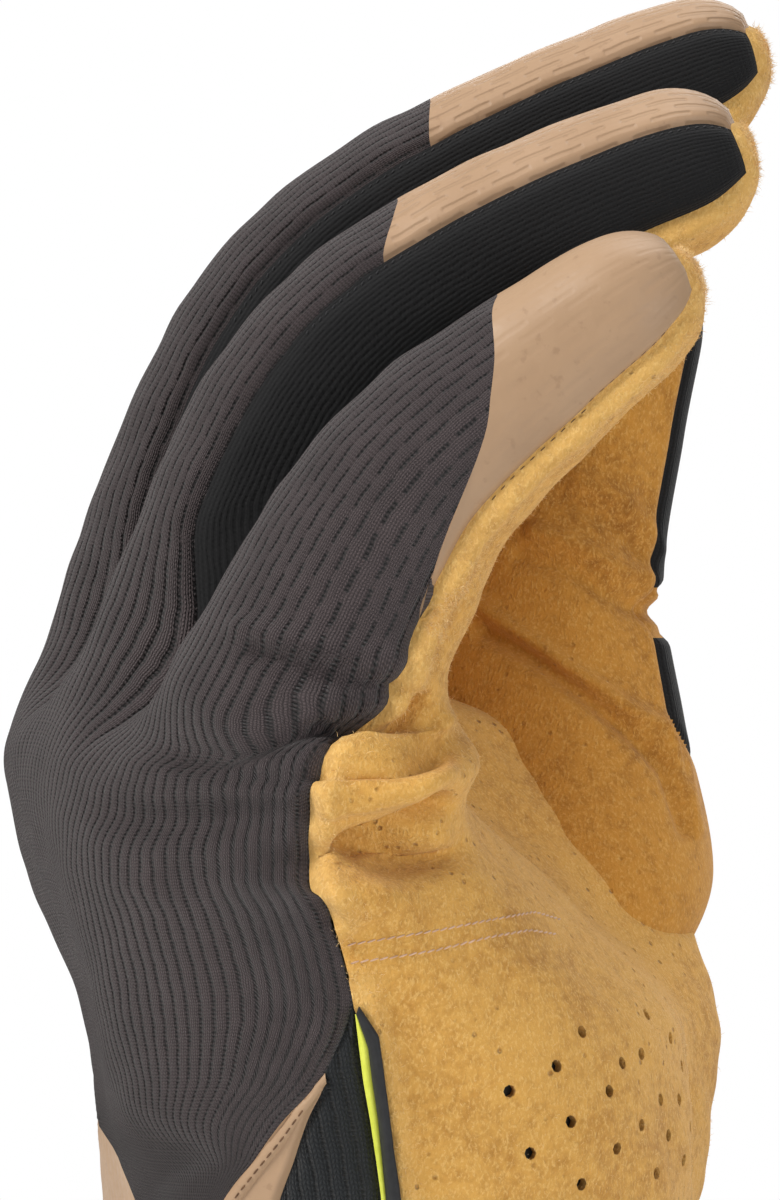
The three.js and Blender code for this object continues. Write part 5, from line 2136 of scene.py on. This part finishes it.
@dataclass
class Label:
    """Folded label sewn in beside the black gusset: a dark spine and a plain bright strip."""

    tree: BVHTree
    finishes: dict
    rows: int = 70
    strip: tuple = ((355, 1014), (358, 1040), (363, 1080), (370, 1120), (376, 1160), (380, 1189), (383, 1215))
    fold: tuple = ((356, 1014), (368, 1048), (372, 1080), (378, 1120), (382, 1160), (385, 1189), (387, 1215))
    spine: tuple = ((359, 1006), (379, 1036), (384, 1072), (389, 1110), (394, 1150), (400, 1189), (403, 1215))

    def carried(self, line: tuple, lift: float) -> Array:
        """A picture line on the skin, made even.

        Args:
            line: its picture points.
            lift: millimetres towards the camera.

        Returns:
            As many places as the label has rows.
        """
        flat = np.array(line, float)
        at = np.linspace(0, 1, self.rows)
        knots = np.linspace(0, 1, len(flat))
        starts, aims, depths = [], [], []
        for x, y in zip(np.interp(at, knots, flat[:, 0]), np.interp(at, knots, flat[:, 1])):
            start, aim = EYE.ray(float(x), float(y))
            starts.append(tuple(start))
            aims.append(tuple(aim / -aim.x))
            depths.append(self.tree.ray_cast(start, aim)[0].x)
        smooth = np.polyval(np.polyfit(at, depths, 3), at) + lift
        return np.array(starts) + np.array(aims) * (EYE.distance - smooth)[:, None]

    def band(self, name: str, rails: list[Array], finish: str) -> Object:
        """A closed bar through rails that run side by side.

        Args:
            name: the piece's name.
            rails: its long edges in order around it.
            finish: name of its material.

        Returns:
            The bar.
        """
        count, n = len(rails), self.rows
        faces = [list(range(0, count * n, n)), list(range(n - 1, count * n, n))]
        for j in range(count):
            k = (j + 1) % count
            faces.extend([j * n + i, j * n + i + 1, k * n + i + 1, k * n + i] for i in range(n - 1))
        made = mesh_object(name, np.concatenate(rails), faces, self.finishes[finish])
        fix_normals(made)
        return made

    def build(self) -> None:
        """Strip and spine; together they stand for the CAD label."""
        left, left_low = self.carried(self.strip, 1.3), self.carried(self.strip, -0.4)
        fold, fold_low = self.carried(self.fold, 1.35), self.carried(self.fold, -0.4)
        right, right_low = self.carried(self.spine, 1.0), self.carried(self.spine, -0.4)
        settle(self.band("label_strip", [left, fold, fold_low, left_low], "label"), "tag", "side_tag")
        crown = mix(fold, right, 0.5)
        crown[:, 0] += 0.55
        near, far = mix(fold, crown, 0.45), mix(right, crown, 0.45)
        near[:, 0] += 0.18
        far[:, 0] += 0.22
        rails = [fold, near, crown, far, right, right_low, fold_low]
        settle(self.band("label_spine", rails, "dark thread"), "black")


def fix_normals(piece: Object) -> None:
    """Turns every face of a closed piece outwards."""
    select_only(piece)
    bpy.ops.object.mode_set(mode="EDIT")
    bpy.ops.mesh.select_all(action="SELECT")
    bpy.ops.mesh.normals_make_consistent(inside=False)
    bpy.ops.object.mode_set(mode="OBJECT")


# Studio


@dataclass
class Studio:
    """Camera, soft lights, pale floor and white surround."""

    eye: Eye = EYE

    def camera(self) -> None:
        """The picture's camera: square on from the little finger's side."""
        data = bpy.data.cameras.new("camera")
        data.sensor_width = 36.0
        data.lens = self.eye.focal * 36.0 / max(self.eye.picture)
        data.clip_start, data.clip_end = 0.05, 20.0
        made = bpy.data.objects.new("camera", data)
        made.location = (self.eye.distance * MM, 0.0, self.eye.height * MM)
        made.rotation_euler = (math.radians(90), 0.0, math.radians(90))
        bpy.context.scene.collection.objects.link(made)
        bpy.context.scene.camera = made

    def light(self, name: str, place: tuple, aim: tuple, size: float, power: float, tone: tuple) -> None:
        """One soft square light.

        Args:
            name: its name.
            place: where it stands, in metres.
            aim: what it faces.
            size: its side in metres.
            power: in watts.
            tone: its colour.
        """
        data = bpy.data.lights.new(name, "AREA")
        data.shape = "SQUARE"
        data.size = size
        data.energy = power
        data.color = tone
        made = bpy.data.objects.new(name, data)
        made.location = place
        made.rotation_euler = (Vector(aim) - Vector(place)).to_track_quat("-Z", "Y").to_euler()
        bpy.context.scene.collection.objects.link(made)

    def surround(self) -> None:
        """White backdrop that lights the glove less than it shows."""
        world = bpy.data.worlds.new("surround")
        bpy.context.scene.world = world
        world.use_nodes = True
        sheet = NodeSheet(world.node_tree)
        background = world.node_tree.nodes["Background"]
        path = sheet.add("ShaderNodeLightPath")
        sheet.put(background.inputs["Color"], (1.0, 1.0, 1.0, 1.0))
        strength = sheet.math("MULTIPLY_ADD", path.outputs["Is Camera Ray"], 0.8, 0.2)
        sheet.put(background.inputs["Strength"], strength)

    def floor(self) -> None:
        """A plain pale floor under the glove."""
        bpy.ops.object.select_all(action="DESELECT")
        bpy.ops.mesh.primitive_plane_add(size=1.0, location=(0.0, 0.0, -0.004))
        floor = bpy.context.active_object
        floor.name = "floor"
        made = bpy.data.materials.new("pale floor")
        made.use_nodes = True
        shader = made.node_tree.nodes["Principled BSDF"]
        shader.inputs["Roughness"].default_value = 0.8
        sheet = NodeSheet(made.node_tree)
        cloudy = sheet.noise(sheet.add("ShaderNodeTexCoord").outputs["Object"], 3.0, 2.0)
        pale = sheet.tint(cloudy, (0.8, 0.8, 0.79, 1.0), (0.84, 0.84, 0.83, 1.0))
        sheet.put(shader.inputs["Base Color"], pale)
        floor.data.materials.append(made)

    def build(self) -> None:
        """Everything around the glove."""
        self.camera()
        self.surround()
        self.floor()
        middle = (0.0, 0.0, 0.12)
        self.light("key", (0.5, -0.85, 0.8), middle, 0.5, 14.5, (1.0, 0.985, 0.96))
        self.light("fill", (0.95, 0.75, 0.2), middle, 0.6, 5.4, (0.99, 0.99, 1.0))
        self.light("top", (-0.1, 0.15, 0.95), middle, 0.6, 4.5, (1.0, 1.0, 1.0))
        self.light("far side", (-0.9, 0.2, 0.4), middle, 0.8, 6.0, (1.0, 0.99, 0.97))
        bpy.context.scene.view_settings.view_transform = "Standard"


# Stitch rows and the tan panel's raised edge, in picture points
PALM_ROWS = (
    ((347, 945), (390, 938), (440, 930), (490, 920), (535, 912), (562, 920)),
    ((350, 963), (395, 957), (437, 950), (490, 937), (530, 930), (560, 935)),
)
CUFF_OUTER = ((325, 1072), (300, 1102), (275, 1134), (252, 1162), (230, 1189), (214, 1212))
CUFF_INNER = ((327, 1084), (307, 1112), (286, 1144), (264, 1172), (243, 1200), (228, 1224))


@dataclass
class Glove:
    """The whole glove, from skin to fuzz."""

    skin: HandSkin = field(default_factory=HandSkin)
    stitch_turn: float = 3.0
    cuff_lift: float = 0.45

    def build(self) -> None:
        """Builds every piece in order."""
        finishes = Finishes()
        finishes.build()
        dense = DenseSkin(self.skin)
        dense.add_fingers()
        dense.add_strips()
        dense.add_wrist()
        dense.weld()
        dense.relax(6, dense.calm())
        dense.find_normals()
        Relief(dense).press()
        dense.relax(1, dense.calm())
        dense.find_normals()
        tree = BVHTree.FromPolygons(dense.points.tolist(), dense.faces)
        holes = Holes()
        gone = holes.cut(dense, tree)
        Shell(dense, finishes.made).build(gone)
        # Dark discs behind the holes stand for the shade inside them.
        holes.line(finishes.made)
        Thumb(finishes.made, tree).build()
        self.sew(Stitching(tree, finishes.made))
        Label(tree, finishes.made).build()
        Fuzz(dense, finishes.made).build()

    def finger_line(self, index: int, first: float, last: float, count: int, turn: float) -> Array:
        """Points along a finger's skin at one turn, between two shares of its length."""
        share = np.linspace(first, last, count)
        return FINGERS[index].point(share * FINGERS[index].length, np.full(count, turn))

    def sew(self, thread: Stitching) -> None:
        """Visible stitch rows and the tan panel's raised edge.

        Args:
            thread: what makes the stitches.
        """
        rows = [thread.row(thread.seen_line(line), 1.15, 1.05, 0.12, 0.2, 0.02) for line in PALM_ROWS]
        thread.build("palm_stitches", rows, "thread", "suede")
        dark = []
        for index in range(LAST + 1):
            for turn in (-BACK_EDGE - self.stitch_turn, BACK_EDGE + self.stitch_turn):
                if (index == 0 and turn > 0) or (index == LAST and turn < 0):
                    continue
                points = self.finger_line(index, 0.25, 0.98, 80, turn)
                dark.append(thread.row(points, 1.1, 0.6, 0.14, 0.5, 0.05))
        thread.build("strip_stitches", dark, "dark thread", "black")
        seam = thread.row(self.finger_line(0, 0.34, 0.9, 70, PINKY_SEAM), 1.6, 0.7, 0.07, 0.0, 0.0)
        thread.build("pinky_seam_stitches", [seam], "seam thread", "suede")
        edge = thread.ribbon(CUFF_OUTER, CUFF_INNER, self.cuff_lift)
        thread.build("cuff_panel_edge", [edge], "smooth film", "cap")
        row = thread.seen_line(between(CUFF_OUTER[1:], CUFF_INNER[1:], 0.6))
        tan = thread.row(row, 1.3, 0.9, 0.12, 0.0, self.cuff_lift + 0.02)
        thread.build("cuff_panel_stitches", [tan], "seam thread", "suede")


def main() -> None:
    """Builds the glove and the studio, and reports each piece."""
    Glove().build()
    Studio().build()


if __name__ == "__main__":
    main()
